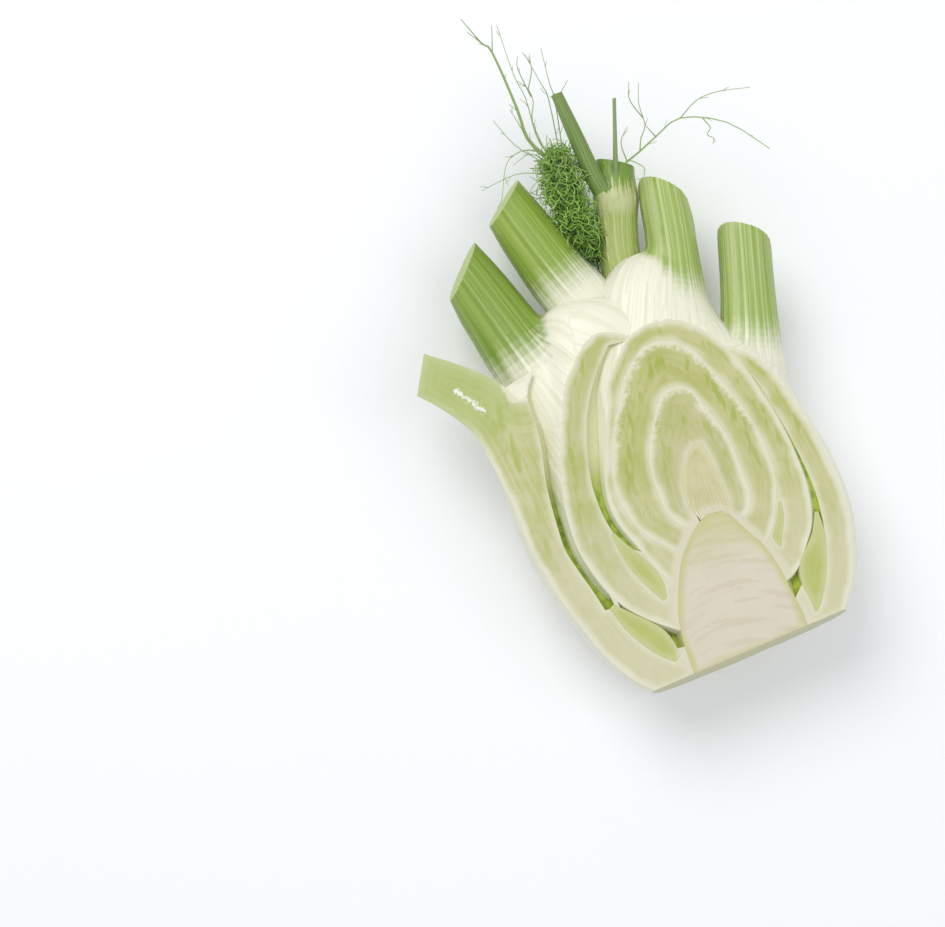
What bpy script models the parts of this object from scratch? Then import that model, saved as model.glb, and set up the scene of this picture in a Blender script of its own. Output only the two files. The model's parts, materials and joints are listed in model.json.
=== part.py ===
"""Half a fennel bulb, lying on its round back with the cut face up. Sizes in the tables are millimetres.

X runs across the bulb, +Y the way the stalks grow, and +Z up out of the cut face. The origin is on the
surface it lies on, in the middle of its flat resting spot.
"""

import math
import random

import bmesh
import bpy
import numpy as np
from mathutils import Matrix, Vector

MM = 0.001
CUT_HEIGHT = 42.0
FLAT_SPOT = 0.8
GAP = 0.3
ROOT_END_TURN = 10.0
ROOT_END_LEAN = 6.5
ROOT_END_Y = -1.2
BULB_SQUARENESS = 2.4
STALK_SQUARENESS = 2.2
BULB_COLUMNS = 28
CORE_COLUMNS = 24
HEART_COLUMNS = 16
STALK_COLUMNS = 20
BUD_COLUMNS = 12
RIB_HEIGHT = 0.5
SHARP_EDGE_ANGLE = 35.0
WELD_DISTANCE = 0.002
CUTTER_SIZE = 150.0
RESTING_SPOT = (-13.5, 64.0)

# Each egg is a nested layer of the bulb: rows of (y, left x, right x, lowest z, z of the widest place).
EGG_FIRST_LEAF = [
    (-12, -26, 8, 22, 34), (-4, -38, 18, 14.5, 34), (6, -46, 24, 9, 33), (18, -52.2, 28, 4.4, 32),
    (30, -57.7, 30, 1.7, 31), (43, -61.7, 30, 0.3, 31), (56, -64, 27, 0, 31), (68, -64.5, 22, 0, 31),
    (79, -62.4, 14, 1.3, 31), (89, -57, 4, 6.5, 31.5), (96, -50.5, -10, 14, 32), (101, -44, -24, 24, 33),
]
EGG_SECOND_LEAF = [
    (-9, -14, 24, 22, 34), (0, -24, 31, 14, 33), (8, -33, 36.3, 9, 32), (17, -38.5, 40.6, 5.5, 31),
    (27, -41.5, 42.8, 4.2, 30), (37, -45.5, 43.6, 4, 30), (47, -48, 42.6, 4, 30), (60, -48.5, 39.6, 4, 30),
    (73, -47.5, 35.2, 5, 30), (83, -43.5, 32, 8, 30), (92, -36, 28, 13, 30), (99, -24, 20, 19, 30),
    (103, -12, 8, 25, 30),
]
EGG_THIRD_LEAF = [
    (8, -21, 8, 24, 34), (14, -30.5, 14, 18, 33), (20.5, -37.3, 17, 14, 33), (26, -42, 19, 11.5, 32),
    (34, -46.5, 20, 9.5, 31), (43, -49.3, 21, 8.5, 31), (53, -50, 20, 8, 31), (62, -50.5, 18, 8, 30),
    (71, -50.5, 16, 8, 29), (79, -50.5, 14, 8.5, 28), (86, -50, 11, 9.5, 27.7), (94, -48.5, 8, 11, 28),
    (101, -47, 5, 13.9, 28.5), (108, -45.5, 0, 15.9, 29), (114, -43, -6, 19, 30),
    (118.5, -40.5, -12, 22, 30.5), (121.5, -35, -20, 26, 31),
]
EGG_FOURTH_LEAF = [
    (14, -10, 12, 26, 35), (20, -18.5, 22, 21, 35), (27, -22.5, 26.5, 18, 35), (33, -26, 30, 16.5, 34.5),
    (40, -30, 31.6, 15.5, 34), (47, -33.4, 31.7, 14.5, 34), (54, -35, 30.8, 14, 34),
    (62, -34.4, 29.3, 14, 34), (72, -33, 27.6, 14, 32.5), (82, -31.8, 25.8, 14, 31),
    (90, -31, 22.8, 13.5, 30.5), (96.5, -29, 21, 14.5, 30), (103.5, -26.5, 17.5, 15, 29.3),
    (109.5, -24.5, 15, 16.4, 29), (117, -22, 13.4, 17.5, 29), (123, -19.5, 12.4, 19, 29),
    (129, -14.5, 9.5, 21.5, 29), (132, -9.5, 5.5, 24.5, 29),
]
EGG_FIFTH_LEAF = [
    (30, -13, 14, 25, 36), (36, -19, 18, 22, 35.5), (42, -26, 20.7, 20.5, 35), (49, -29.8, 22.3, 20, 35),
    (57, -32, 22.3, 19.5, 35), (66, -31.4, 20.5, 19.5, 35), (75, -30, 18.6, 19.5, 34),
    (83, -27.4, 15.6, 19, 33), (91, -24.9, 12.1, 18.5, 32), (97, -20.3, 8.3, 18.5, 31.5),
    (101, -17.5, 5, 19.5, 31), (107, -16.5, -1, 21, 29.5),
]
EGG_SIXTH_LEAF = [
    (40, -12, 11, 29, 37), (46, -17.5, 13.6, 27, 36.5), (53, -19.5, 13.3, 26, 36), (61, -20, 12, 25.5, 36),
    (69, -18.6, 10, 25.5, 36), (77, -15.5, 6.5, 26, 35.5), (83, -13, 4.5, 26, 35), (88, -10.5, 2, 27, 34),
]
EGG_HEART = [
    (40, -5.6, 3.8, 36, 40), (43.5, -6.5, 4.5, 35, 40), (49, -9, 4.2, 33, 40), (56, -8.8, 3, 32, 39.5),
    (62, -6.6, 1.6, 33, 39.5), (67, -2.6, 0.2, 37, 41),
]
EGG_CORE = [
    (-11, -20, 21.5, 18, 34), (4, -21.8, 21.3, 18, 34), (14, -21.8, 19.3, 19, 34),
    (22, -20.5, 17.8, 20.5, 34), (30, -17.8, 14.5, 22.5, 34.5), (36, -14.5, 10.5, 25, 35),
    (41, -9.5, 6.5, 29, 36.5), (44, -3.8, 1.6, 34, 39),
]
HOLLOW_SECOND_LEAF = [
    (4.5, -24, 17, 37, 44), (8, -31, 17.5, 36, 44), (12, -41, 18.5, 35, 44), (19.4, -49, 25, 34, 44),
    (27.6, -53, 31.5, 34, 44), (37.5, -57, 32.6, 34, 44), (47, -59, 31.9, 34, 44), (60, -61, 29.2, 34, 44),
    (72, -61, 25.8, 34, 44), (84, -57, 21.2, 34, 44), (93, -48, 12, 35, 44),
]
HOLLOW_THIRD_LEAF = [
    (36, -25, 0, 39, 44), (40, -31.5, 2, 36.5, 44), (47, -35, 5, 35.5, 44), (56, -37, 5, 35.5, 44),
    (66, -37.2, 5, 35.5, 44), (79, -35, 4, 35.5, 44), (88, -32, 1, 35.5, 44), (97, -27.2, -2, 36, 44),
    (104, -22, -7, 37, 44),
]

# How far a stalk's cut end tips, in degrees: above 0 its upper edge is the further one along the stalk.
END_LEANS = {"leaf_2_right": 25.0, "leaf_4_right": 25.0, "leaf_3_left": -10.0, "leaf_5_left": -10.0}

# Each stalk is rows of (x, y, z, half width, half depth, turn of the section in degrees about Z).
STALK_FIRST_LEAF = [
    (-53, 52, 39, 7, 9, 8), (-56.5, 68, 40, 8.4, 9.5, 14), (-59, 81, 41, 9.6, 9.5, 32),
    (-64, 92.5, 41.5, 9.4, 9, 52), (-72.5, 101, 41.5, 8, 8.4, 58), (-82.6, 108.3, 41.5, 6.9, 7.6, 68),
]
STALK_SECOND_LEAF = [
    (14.5, 69, 28, 17.5, 14, -6), (20.6, 83.5, 28.5, 13, 11.5, -8), (24.6, 96.5, 28.5, 10.2, 9.6, -10),
    (27.2, 110, 28, 9.1, 8.6, -10), (29.2, 122, 28, 8.8, 8.4, -12), (30.4, 129.3, 28, 9.1, 8.4, -27),
]
STALK_THIRD_LEAF = [
    (-34, 72, 28, 15, 15, 6), (-40.4, 90.5, 28, 14, 12.4, 14), (-48.2, 108, 27.5, 12.4, 10, 22),
    (-54.8, 124, 27, 10.9, 8.8, 25), (-61.6, 139.8, 27, 10.4, 8.3, 54),
]
STALK_FOURTH_LEAF = [
    (-0.6, 93, 28, 18, 12, 0), (2.4, 109.5, 28, 12.4, 10.4, 0), (5.8, 124, 28, 9, 8.8, -3),
    (7.4, 138, 28, 8.3, 8.3, -4), (8, 149.2, 28, 8.9, 8.1, -33),
]
STALK_FIFTH_LEAF = [
    (-11, 89, 28, 11.4, 9, 4), (-19.8, 109.5, 27.5, 11.4, 8.4, 16), (-30.4, 129.5, 27, 10.8, 8.8, 24),
    (-37.2, 144.5, 26.5, 9.8, 8.5, 25), (-43.4, 158.8, 26, 9.1, 8.1, 46),
]
STALK_SIXTH_LEAF = [
    (-5, 80, 31, 7, 6, 0), (-7.5, 100, 28, 6.6, 6.5, 0), (-10.4, 129, 25.5, 7, 6.8, -6),
    (-8.6, 143.5, 25.5, 6.8, 6.8, -7), (-7.3, 151.5, 25.6, 7.8, 7.6, -7), (-6.1, 157.8, 25.8, 6.8, 6.6, -12),
    (-4.8, 163.3, 26, 6.5, 6.2, -24),
]
STALK_SIDE_BRANCH = [
    (-9.6, 150.5, 28, 3.5, 3.4, 20), (-13, 160, 31.5, 3.0, 3.0, 20), (-16.2, 175, 34, 2.5, 2.4, 12),
    (-18.9, 188.4, 35, 1.9, 1.8, 8),
]
STALK_THIN_SHOOT = [
    (-6.6, 154.5, 29, 1.5, 1.5, 0), (-4.9, 164, 33.4, 1.15, 1.15, 0), (-2.8, 174, 34.2, 1, 1, 0),
    (-0.9, 183, 34.4, 1, 1, 0),
]
# A thin torn flap at the left leaf's rim, in front of the next stalk.
EAR_FIRST_LEAF = [
    (-52.8, 86, 35, 3, 3, 10), (-52.8, 92.5, 38.5, 4, 2, 14), (-52.6, 96.5, 39.8, 4.8, 1.3, 18),
    (-52.3, 99.8, 40.6, 5.4, 0.9, 19),
]
# The shallow furrow in the cut face of the left leaf.
GROOVE_FIRST_LEAF = [
    (-40.4, 21.5, 42, 1.7, 4, 0), (-42.6, 29, 42, 2.2, 4.4, 0), (-44.7, 34.5, 42, 2.4, 4.6, 0),
    (-47.4, 42.5, 42, 2.6, 5, 0), (-48, 49, 42, 2.8, 5.5, 0), (-46.9, 64, 42, 4.4, 6.5, 0),
    (-44.6, 80, 42, 5.4, 6.5, 0), (-42.3, 94, 42, 8.5, 7, 0), (-38.2, 101.4, 42, 9, 7, 0),
    (-36, 108, 42, 9, 7, 0),
]
BUD_TABLES = {
    "side_bud_outer_left": [
        (-22.9, 1.4, 40.5, 1.6, 2.6, 46), (-25.2, 4.6, 40, 3.3, 4, 44), (-28.2, 8.5, 40, 4.2, 4.6, 42),
        (-31.6, 12.2, 40, 4, 4.4, 40), (-35.9, 16.9, 40.3, 2.8, 3.8, 38), (-39.8, 22.2, 41, 1.1, 1.8, 36),
    ],
    "side_bud_inner_left": [
        (-22.6, 20.6, 40.5, 1.2, 2, 36), (-23.8, 24.6, 40.2, 2.6, 3.4, 36), (-26, 29, 40, 3.3, 4, 36),
        (-29, 34, 40, 3.1, 3.8, 34), (-32, 39.4, 40.4, 1.9, 3, 30), (-34.2, 44.6, 41, 0.7, 1.5, 24),
    ],
    "side_bud_outer_right": [
        (23.4, 6, 40.5, 0.9, 1.8, -14), (24.2, 9.6, 40.2, 2.2, 3, -14), (24.6, 15, 40, 4.1, 4.4, -14),
        (25.7, 20, 40, 4.7, 4.6, -14), (27.7, 24.9, 40, 3.8, 4.2, -14), (29.9, 30, 40.3, 2.3, 3.4, -12),
        (30.9, 37, 41, 0.7, 1.5, -10),
    ],
    "side_bud_inner_right": [
        (17, 28.8, 41, 0.6, 1.2, -12), (16.8, 31.9, 40.6, 1.6, 2.4, -12), (18, 34.7, 40.5, 1.6, 2.4, -12),
        (19.5, 38.7, 40.8, 1.2, 2, -10), (20.2, 42.7, 41.2, 0.6, 1.1, -8),
    ],
}

# Each filament of a spray is (x, y, z) points from root to tip. The first one of a spray is its midrib.
SPRAY_LEFT = [
    [
        (-25.6, 168, 31), (-31.4, 176.5, 34), (-32.6, 186.7, 35), (-36.3, 206.3, 36), (-39, 210, 36.5),
        (-43.9, 219.2, 37),
    ],
    [(-39, 210, 36.5), (-42.9, 214.3, 38)],
    [(-36.3, 206.3, 36), (-35.2, 211.3, 35), (-34.4, 215.6, 34.5)],
    [(-25.6, 169, 33), (-28.5, 176.4, 36), (-29.2, 188.8, 37.5), (-31.3, 197.2, 38), (-33, 214.1, 38.5)],
    [(-26.5, 172, 30), (-28.4, 182.2, 31), (-26.7, 188.2, 32), (-27.6, 193.2, 32), (-30.4, 196.2, 32)],
    [(-27, 190, 32), (-29.2, 200, 32.5), (-28.3, 203.9, 33)],
    [(-27.5, 192.5, 32), (-24.7, 199.5, 33), (-26.7, 204.7, 34)],
    [(-22, 168, 28), (-21.4, 188.2, 29), (-22.7, 193.8, 30), (-25.9, 204.2, 32)],
    [(-21, 168, 28), (-19.5, 187.8, 29), (-20, 193.2, 30), (-20.2, 205.2, 31)],
    [(-19.7, 190, 29.4), (-17.5, 189.5, 29.5), (-14.1, 193, 30.5)],
    [(-26, 165, 32), (-29.6, 169, 34), (-35.9, 175.1, 35), (-41.1, 184.2, 37)],
    [(-31.6, 177.5, 34.1), (-33, 181, 35.5), (-35, 186.4, 37.5)],
    [(-26, 166.5, 32), (-31.5, 171.2, 35), (-38, 168.6, 36)],
    [(-29.6, 172.4, 33), (-34.7, 172.5, 36), (-40.2, 169.1, 38), (-44, 158.8, 38), (-46.2, 155.8, 37.5)],
    [(-24, 160, 32), (-30, 163.6, 37), (-38.2, 165.1, 38.5), (-49.9, 162.5, 38)],
]
SPRAY_RIGHT = [
    [
        (-2, 161.9, 32.7), (3.3, 164.3, 34), (9.3, 167.6, 35), (18.4, 171.6, 36), (32.4, 166.7, 37.5),
        (44.3, 155.1, 37),
    ],
    [(18.4, 171.6, 36), (24.5, 175.7, 38), (31.9, 176.8, 39), (42.4, 175.8, 39)],
    [(3.3, 164.3, 34), (4.5, 168.2, 36), (6.6, 171.8, 37), (6.1, 178.9, 38), (7.6, 185.6, 38.5)],
    [(6.4, 174.2, 37.4), (3.5, 180.7, 38), (4.6, 186.6, 38)],
    [(9.3, 167.6, 35), (6.6, 171.8, 37)],
    [(-1.4, 162.1, 32.9), (-2.2, 168.2, 35.5), (0.8, 172.5, 37)],
    [
        (-1.2, 162.2, 33), (0.4, 161, 36), (2.6, 158.6, 38), (3, 156.8, 39), (1.7, 154.7, 39),
        (-0.6, 155, 38),
    ],
    [(25.3, 169.9, 36.7), (27.3, 166.5, 35), (25.9, 164.6, 34), (27.8, 163.2, 33), (27.3, 161.5, 32)],
]
THREAD_RADIUS = 0.55
MIDRIB_RADIUS = 0.9
THREAD_TAPER = 0.45

# The tuft's threads stand out of a smaller solid core, in rings along it.
TUFT_CORE = [
    (-18.8, 132, 27, 1.6, 3, 4), (-20.3, 139, 28, 3.8, 5, 4), (-22, 147, 29, 5.6, 6, 4),
    (-23, 156, 30, 6.6, 6.4, 4), (-23.2, 163, 30.5, 6.4, 6, 4), (-23, 170, 31, 4, 4.4, 6),
]
TUFT_RINGS = 11
TUFT_PER_RING = 8
TUFT_LENGTH = (5.5, 9.5)
TUFT_ROOT_DEPTH = 0.55
TUFT_OUTWARD = 0.75
TUFT_UPWARD = (0.35, 0.95)
TUFT_CURL = 0.28
TUFT_SEED = 11

COLOURS = {
    "white_flesh": ((0.86, 0.88, 0.74), 0.45),
    "core_flesh": ((0.90, 0.87, 0.78), 0.55),
    "bud_green": ((0.50, 0.66, 0.14), 0.45),
    "frond_green": ((0.20, 0.42, 0.06), 0.5),
}


def clear_scene():
    for old in list(bpy.data.objects):
        bpy.data.objects.remove(old)


def new_collection(name, helper=False):
    collection = bpy.data.collections.new(name)
    bpy.context.scene.collection.children.link(collection)
    collection.hide_render = helper
    return collection


def material(name):
    colour, roughness = COLOURS[name]
    made = bpy.data.materials.get(name) or bpy.data.materials.new(name)
    made.use_nodes = True
    shader = made.node_tree.nodes["Principled BSDF"]
    shader.inputs["Base Color"].default_value = (*colour, 1)
    shader.inputs["Roughness"].default_value = roughness
    shader.inputs["Metallic"].default_value = 0
    return made


def smooth_rows(rows, between):
    """The rows with `between` more put in each step, on a curve through them all."""
    table = np.array(rows, float)
    padded = np.vstack([2 * table[0] - table[1], table, 2 * table[-1] - table[-2]])
    found = []
    for before, start, end, after in zip(padded, padded[1:], padded[2:], padded[3:]):
        for step in range(between + 1):
            t = step / (between + 1)
            bend = (2 * before - 5 * start + 4 * end - after) * t**2
            twist = (3 * start - before - 3 * end + after) * t**3
            found.append(start + ((end - before) * t + bend + twist) / 2)
    return np.array(found + [table[-1]])


def egg_sections(rows):
    """Sections straight across the bulb, as (centre, half width, half depth, turn)."""
    found = []
    for y, left, right, low, middle in rows:
        found.append((Vector(((left + right) / 2, y, middle)), (right - left) / 2, middle - low, 0.0))
    return found


def stalk_sections(rows, between):
    """Sections across a stalk, in the same form."""
    found = []
    for x, y, z, half_width, half_depth, turn in smooth_rows(rows, between):
        found.append((Vector((x, y, z)), half_width, half_depth, math.radians(turn)))
    return found


def section_points(section, columns, squareness, grow, rib):
    """A rounded rectangle of points, with every second one raised as a rib."""
    centre, half_width, half_depth, turn = section
    across = Vector((math.cos(turn), math.sin(turn), 0))
    found = []
    for column in range(columns):
        angle = 2 * math.pi * column / columns
        c, s = math.cos(angle), math.sin(angle)
        out = grow + rib * (column % 2)
        wide = math.copysign(abs(c) ** (2 / squareness), c) * (half_width + out)
        deep = math.copysign(abs(s) ** (2 / squareness), s) * (half_depth + out)
        found.append((centre + across * wide + Vector((0, 0, deep))) * MM)
    return found


def loft(name, sections, columns, squareness, grow=0.0, rib=0.0, lean=0.0):
    """A closed solid through the sections, with a flat cap at each end.

    `grow` makes it bigger all round, and `lean` tips the last cap.
    """
    first, last = sections[0][0], sections[-1][0]
    start = (first - sections[1][0]).normalized() * grow
    end = (last - sections[-2][0]).normalized() * grow
    ends = {0: start, len(sections) - 1: end}
    shape = bmesh.new()
    rings = []
    for index, (centre, half_width, half_depth, turn) in enumerate(sections):
        moved = (centre + ends.get(index, Vector()), half_width, half_depth, turn)
        points = section_points(moved, columns, squareness, grow, rib)
        if index == len(sections) - 1:
            slope = Vector((-math.sin(turn), math.cos(turn), 0)) * math.tan(math.radians(lean))
            points = [point + slope * (point.z - centre.z * MM) for point in points]
        rings.append([shape.verts.new(point) for point in points])
    for low, high in zip(rings, rings[1:]):
        for column in range(columns):
            following = (column + 1) % columns
            shape.faces.new((low[column], low[following], high[following], high[column]))
    shape.faces.new(rings[0][::-1])
    shape.faces.new(rings[-1])
    bmesh.ops.recalc_face_normals(shape, faces=shape.faces)
    mesh = bpy.data.meshes.new(name)
    shape.to_mesh(mesh)
    shape.free()
    return bpy.data.objects.new(name, mesh)


def egg(name, rows, grow=0.0, rib=0.0, columns=BULB_COLUMNS):
    return loft(name, egg_sections(rows), columns, BULB_SQUARENESS, grow, rib)


def stalk(name, rows, grow=0.0, rib=0.0, columns=STALK_COLUMNS, lean=0.0):
    return loft(name, stalk_sections(rows, 1), columns, STALK_SQUARENESS, grow, rib, lean)


def as_helper(helper):
    cutters.objects.link(helper)
    helper.hide_render = True
    helper.display_type = "WIRE"
    return helper


def block(name, centre, size, turn=0.0, lean=0.0):
    """A box cutter, by its middle and its sides, leaned about X and then turned about Z."""
    shape = bmesh.new()
    bmesh.ops.create_cube(shape, size=1)
    for vert in shape.verts:
        vert.co = Vector(vert.co[axis] * size[axis] * MM for axis in range(3))
    mesh = bpy.data.meshes.new(name)
    shape.to_mesh(mesh)
    shape.free()
    made = bpy.data.objects.new(name, mesh)
    made.location = Vector(centre) * MM
    made.rotation_euler = (math.radians(-lean), 0, math.radians(turn))
    return as_helper(made)


def keep_largest_piece(mesh):
    """Drops the loose scraps that a cut leaves."""
    shape = bmesh.new()
    shape.from_mesh(mesh)
    bmesh.ops.remove_doubles(shape, verts=shape.verts, dist=WELD_DISTANCE * MM)
    left, pieces = set(shape.verts), []
    while left:
        piece, edge = set(), [left.pop()]
        while edge:
            vert = edge.pop()
            piece.add(vert)
            near = {link.other_vert(vert) for link in vert.link_edges} & left
            left -= near
            edge.extend(near)
        pieces.append(piece)
    pieces.sort(key=len)
    for piece in pieces[:-1]:
        bmesh.ops.delete(shape, geom=list(piece), context="VERTS")
    shape.to_mesh(mesh)
    shape.free()


def combine(solid, others, operation, solver):
    """Joins or cuts `solid` with each of the others, in turn."""
    for other in others:
        step = solid.modifiers.new(other.name, "BOOLEAN")
        step.operation = operation
        step.object = other
        step.solver = solver


def settle(solid, finish):
    """Applies the modifiers, keeps one body, gives it its finish and shades it smooth between its edges."""
    graph = bpy.context.evaluated_depsgraph_get()
    mesh = bpy.data.meshes.new_from_object(solid.evaluated_get(graph))
    solid.modifiers.clear()
    solid.data = mesh
    keep_largest_piece(mesh)
    mesh.materials.clear()
    mesh.materials.append(material(finish))
    mesh.shade_smooth()
    mesh.set_sharp_from_angle(angle=math.radians(SHARP_EDGE_ANGLE))


def trimmed(solid, cutters_for_it, finish, solver="EXACT"):
    """A piece of the bulb, cut by its neighbours and at the cut face, the root end and the resting spot."""
    fennel.objects.link(solid)
    combine(solid, [*cutters_for_it, cut_face, root_end, floor], "DIFFERENCE", solver)
    settle(solid, finish)


def leaf_stalks(name, stalk_tables, grow):
    """A leaf's stalk and its shoots as helpers. Only the stalk, which is first, has a tipped end."""
    found = []
    for number, rows in enumerate(stalk_tables):
        lean = END_LEANS.get(name, 0.0) if number == 0 else 0.0
        found.append(as_helper(stalk(f"{name} stalk {number}", rows, grow, RIB_HEIGHT, lean=lean)))
    return found


def leaf(name, egg_rows, stalk_tables, cutters_for_it):
    """A leaf base with its stalk, hollowed by what grows inside it.

    The exact solver loses whole leaves where neighbours run almost along each other, so it isn't used here.
    """
    solid = egg(name, egg_rows, rib=RIB_HEIGHT)
    combine(solid, leaf_stalks(name, stalk_tables, 0.0), "UNION", "MANIFOLD")
    trimmed(solid, cutters_for_it, "white_flesh", "MANIFOLD")


def room_for(name, egg_rows, stalk_tables):
    """The same leaf a gap larger, to cut from the leaves outside it."""
    return [as_helper(egg(f"{name} room", egg_rows, GAP, RIB_HEIGHT)), *leaf_stalks(name, stalk_tables, GAP)]


def filament(name, points, radius):
    """A three-sided thread along the points, thinning to its tip."""
    path = smooth_rows(points, 1)
    shape = bmesh.new()
    rings = []
    for index, point in enumerate(path):
        ahead = Vector(path[min(index + 1, len(path) - 1)] - path[max(index - 1, 0)]).normalized()
        side = ahead.cross(Vector((0.3, 0.1, 1))).normalized()
        over = side.cross(ahead)
        size = radius * (1 - THREAD_TAPER * index / (len(path) - 1))
        ring = []
        for corner in range(3):
            angle = 2 * math.pi * corner / 3
            offset = side * math.cos(angle) + over * math.sin(angle)
            ring.append(shape.verts.new((Vector(point) + offset * size) * MM))
        rings.append(ring)
    for low, high in zip(rings, rings[1:]):
        for corner in range(3):
            following = (corner + 1) % 3
            shape.faces.new((low[corner], low[following], high[following], high[corner]))
    shape.faces.new(rings[0][::-1])
    shape.faces.new(rings[-1])
    bmesh.ops.recalc_face_normals(shape, faces=shape.faces)
    mesh = bpy.data.meshes.new(name)
    shape.to_mesh(mesh)
    shape.free()
    return bpy.data.objects.new(name, mesh)


def fuse(solid, threads, cutters_for_it, finish):
    """Joins threads to the solid that they grow from, by one union on their collection."""
    together = new_collection(f"{solid.name} threads", helper=True)
    for thread in threads:
        together.objects.link(thread)
    fennel.objects.link(solid)
    step = solid.modifiers.new("threads", "BOOLEAN")
    step.operation = "UNION"
    step.operand_type = "COLLECTION"
    step.collection = together
    step.solver = "EXACT"
    combine(solid, cutters_for_it, "DIFFERENCE", "EXACT")
    settle(solid, finish)
    for thread in threads:
        bpy.data.objects.remove(thread)
    bpy.data.collections.remove(together)


def tuft_threads():
    """Threads all round the tuft's core, curling up and out, rooted well inside it."""
    draw = random.Random(TUFT_SEED)
    sections = stalk_sections(TUFT_CORE, 3)
    threads = []
    for ring in range(TUFT_RINGS):
        centre, half_width, half_depth, _ = sections[1 + round(ring * (len(sections) - 2) / (TUFT_RINGS - 1))]
        for place in range(TUFT_PER_RING):
            angle = 2 * math.pi * (place + 0.5 * (ring % 2) + draw.uniform(-0.2, 0.2)) / TUFT_PER_RING
            out = Vector((math.cos(angle), 0, math.sin(angle)))
            root = centre + Vector((out.x * half_width, 0, out.z * half_depth)) * TUFT_ROOT_DEPTH
            length = draw.uniform(*TUFT_LENGTH)
            way = out * TUFT_OUTWARD + Vector((0, draw.uniform(*TUFT_UPWARD), 0))
            way.normalize()
            bend = Vector((draw.uniform(-1, 1), draw.uniform(-0.2, 0.8), draw.uniform(-1, 1)))
            middle = root + way * length / 2
            points = [root, middle, root + way * length + bend * length * TUFT_CURL]
            threads.append(filament(f"tuft thread {ring} {place}", points, THREAD_RADIUS))
    return threads


def spray_threads(name, point_lists):
    """The midrib of a spray and the threads that branch off it."""
    threads = [filament(name, point_lists[0], MIDRIB_RADIUS)]
    for number, points in enumerate(point_lists[1:]):
        threads.append(filament(f"{name} thread {number}", points, THREAD_RADIUS))
    return threads


clear_scene()
fennel = new_collection("fennel bulb")
cutters = new_collection("cutters", helper=True)
slab = (3 * CUTTER_SIZE, 3 * CUTTER_SIZE, CUTTER_SIZE)
cut_face = block("cut face", (0, 0, CUT_HEIGHT + CUTTER_SIZE / 2), slab)
floor = block("resting spot", (0, 0, FLAT_SPOT - CUTTER_SIZE / 2), slab)
turned = math.radians(ROOT_END_TURN)
leaned = math.radians(ROOT_END_LEAN)
level = Vector((math.sin(turned), -math.cos(turned), 0))
outward = level * math.cos(leaned) + Vector((0, 0, math.sin(leaned)))
root_end = block(
    "root end",
    Vector((0, ROOT_END_Y, CUT_HEIGHT)) + outward * CUTTER_SIZE / 2,
    (2 * CUTTER_SIZE, CUTTER_SIZE, 2 * CUTTER_SIZE),
    ROOT_END_TURN,
    ROOT_END_LEAN,
)

trimmed(egg("core", EGG_CORE, columns=CORE_COLUMNS), [], "core_flesh")
inside = [as_helper(egg("core room", EGG_CORE, GAP, columns=CORE_COLUMNS))]

bud_rooms = []
for bud_name, bud_rows in BUD_TABLES.items():
    trimmed(stalk(bud_name, bud_rows, columns=BUD_COLUMNS), inside, "bud_green")
    bud_rooms.append(as_helper(stalk(f"{bud_name} room", bud_rows, GAP, columns=BUD_COLUMNS)))
inside = inside + bud_rooms

trimmed(egg("heart_leaves", EGG_HEART, columns=HEART_COLUMNS), inside, "white_flesh")
inside.append(as_helper(egg("heart room", EGG_HEART, GAP, columns=HEART_COLUMNS)))

hollow_2 = as_helper(egg("second hollow", HOLLOW_SECOND_LEAF))
hollow_3 = as_helper(egg("third hollow", HOLLOW_THIRD_LEAF))
groove = as_helper(stalk("groove", GROOVE_FIRST_LEAF))
leaves = [
    ("leaf_6_centre", EGG_SIXTH_LEAF, [STALK_SIXTH_LEAF, STALK_SIDE_BRANCH, STALK_THIN_SHOOT], []),
    ("leaf_5_left", EGG_FIFTH_LEAF, [STALK_FIFTH_LEAF], []),
    ("leaf_4_right", EGG_FOURTH_LEAF, [STALK_FOURTH_LEAF], []),
    ("leaf_3_left", EGG_THIRD_LEAF, [STALK_THIRD_LEAF], [hollow_3]),
    ("leaf_2_right", EGG_SECOND_LEAF, [STALK_SECOND_LEAF], [hollow_2]),
    ("leaf_1_left", EGG_FIRST_LEAF, [STALK_FIRST_LEAF, EAR_FIRST_LEAF], [groove]),
]
for leaf_name, egg_rows, stalk_tables, own_cutters in leaves:
    leaf(leaf_name, egg_rows, stalk_tables, inside + own_cutters)
    inside = inside + room_for(leaf_name, egg_rows, stalk_tables)

tuft = stalk("frond_tuft", TUFT_CORE, columns=8)
fuse(tuft, tuft_threads() + spray_threads("left spray", SPRAY_LEFT), inside, "frond_green")
midrib, *side_threads = spray_threads("frond_spray_right", SPRAY_RIGHT)
fuse(midrib, side_threads, inside, "frond_green")

to_resting_spot = Matrix.Translation(Vector((-RESTING_SPOT[0], -RESTING_SPOT[1], -FLAT_SPOT)) * MM)
for made in fennel.objects:
    made.data.transform(to_resting_spot)
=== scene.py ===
import json
import math
import random

import bmesh
import bpy
import numpy as np
from mathutils import Matrix, Vector
from mathutils.bvhtree import BVHTree
from mathutils.kdtree import KDTree

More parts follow.
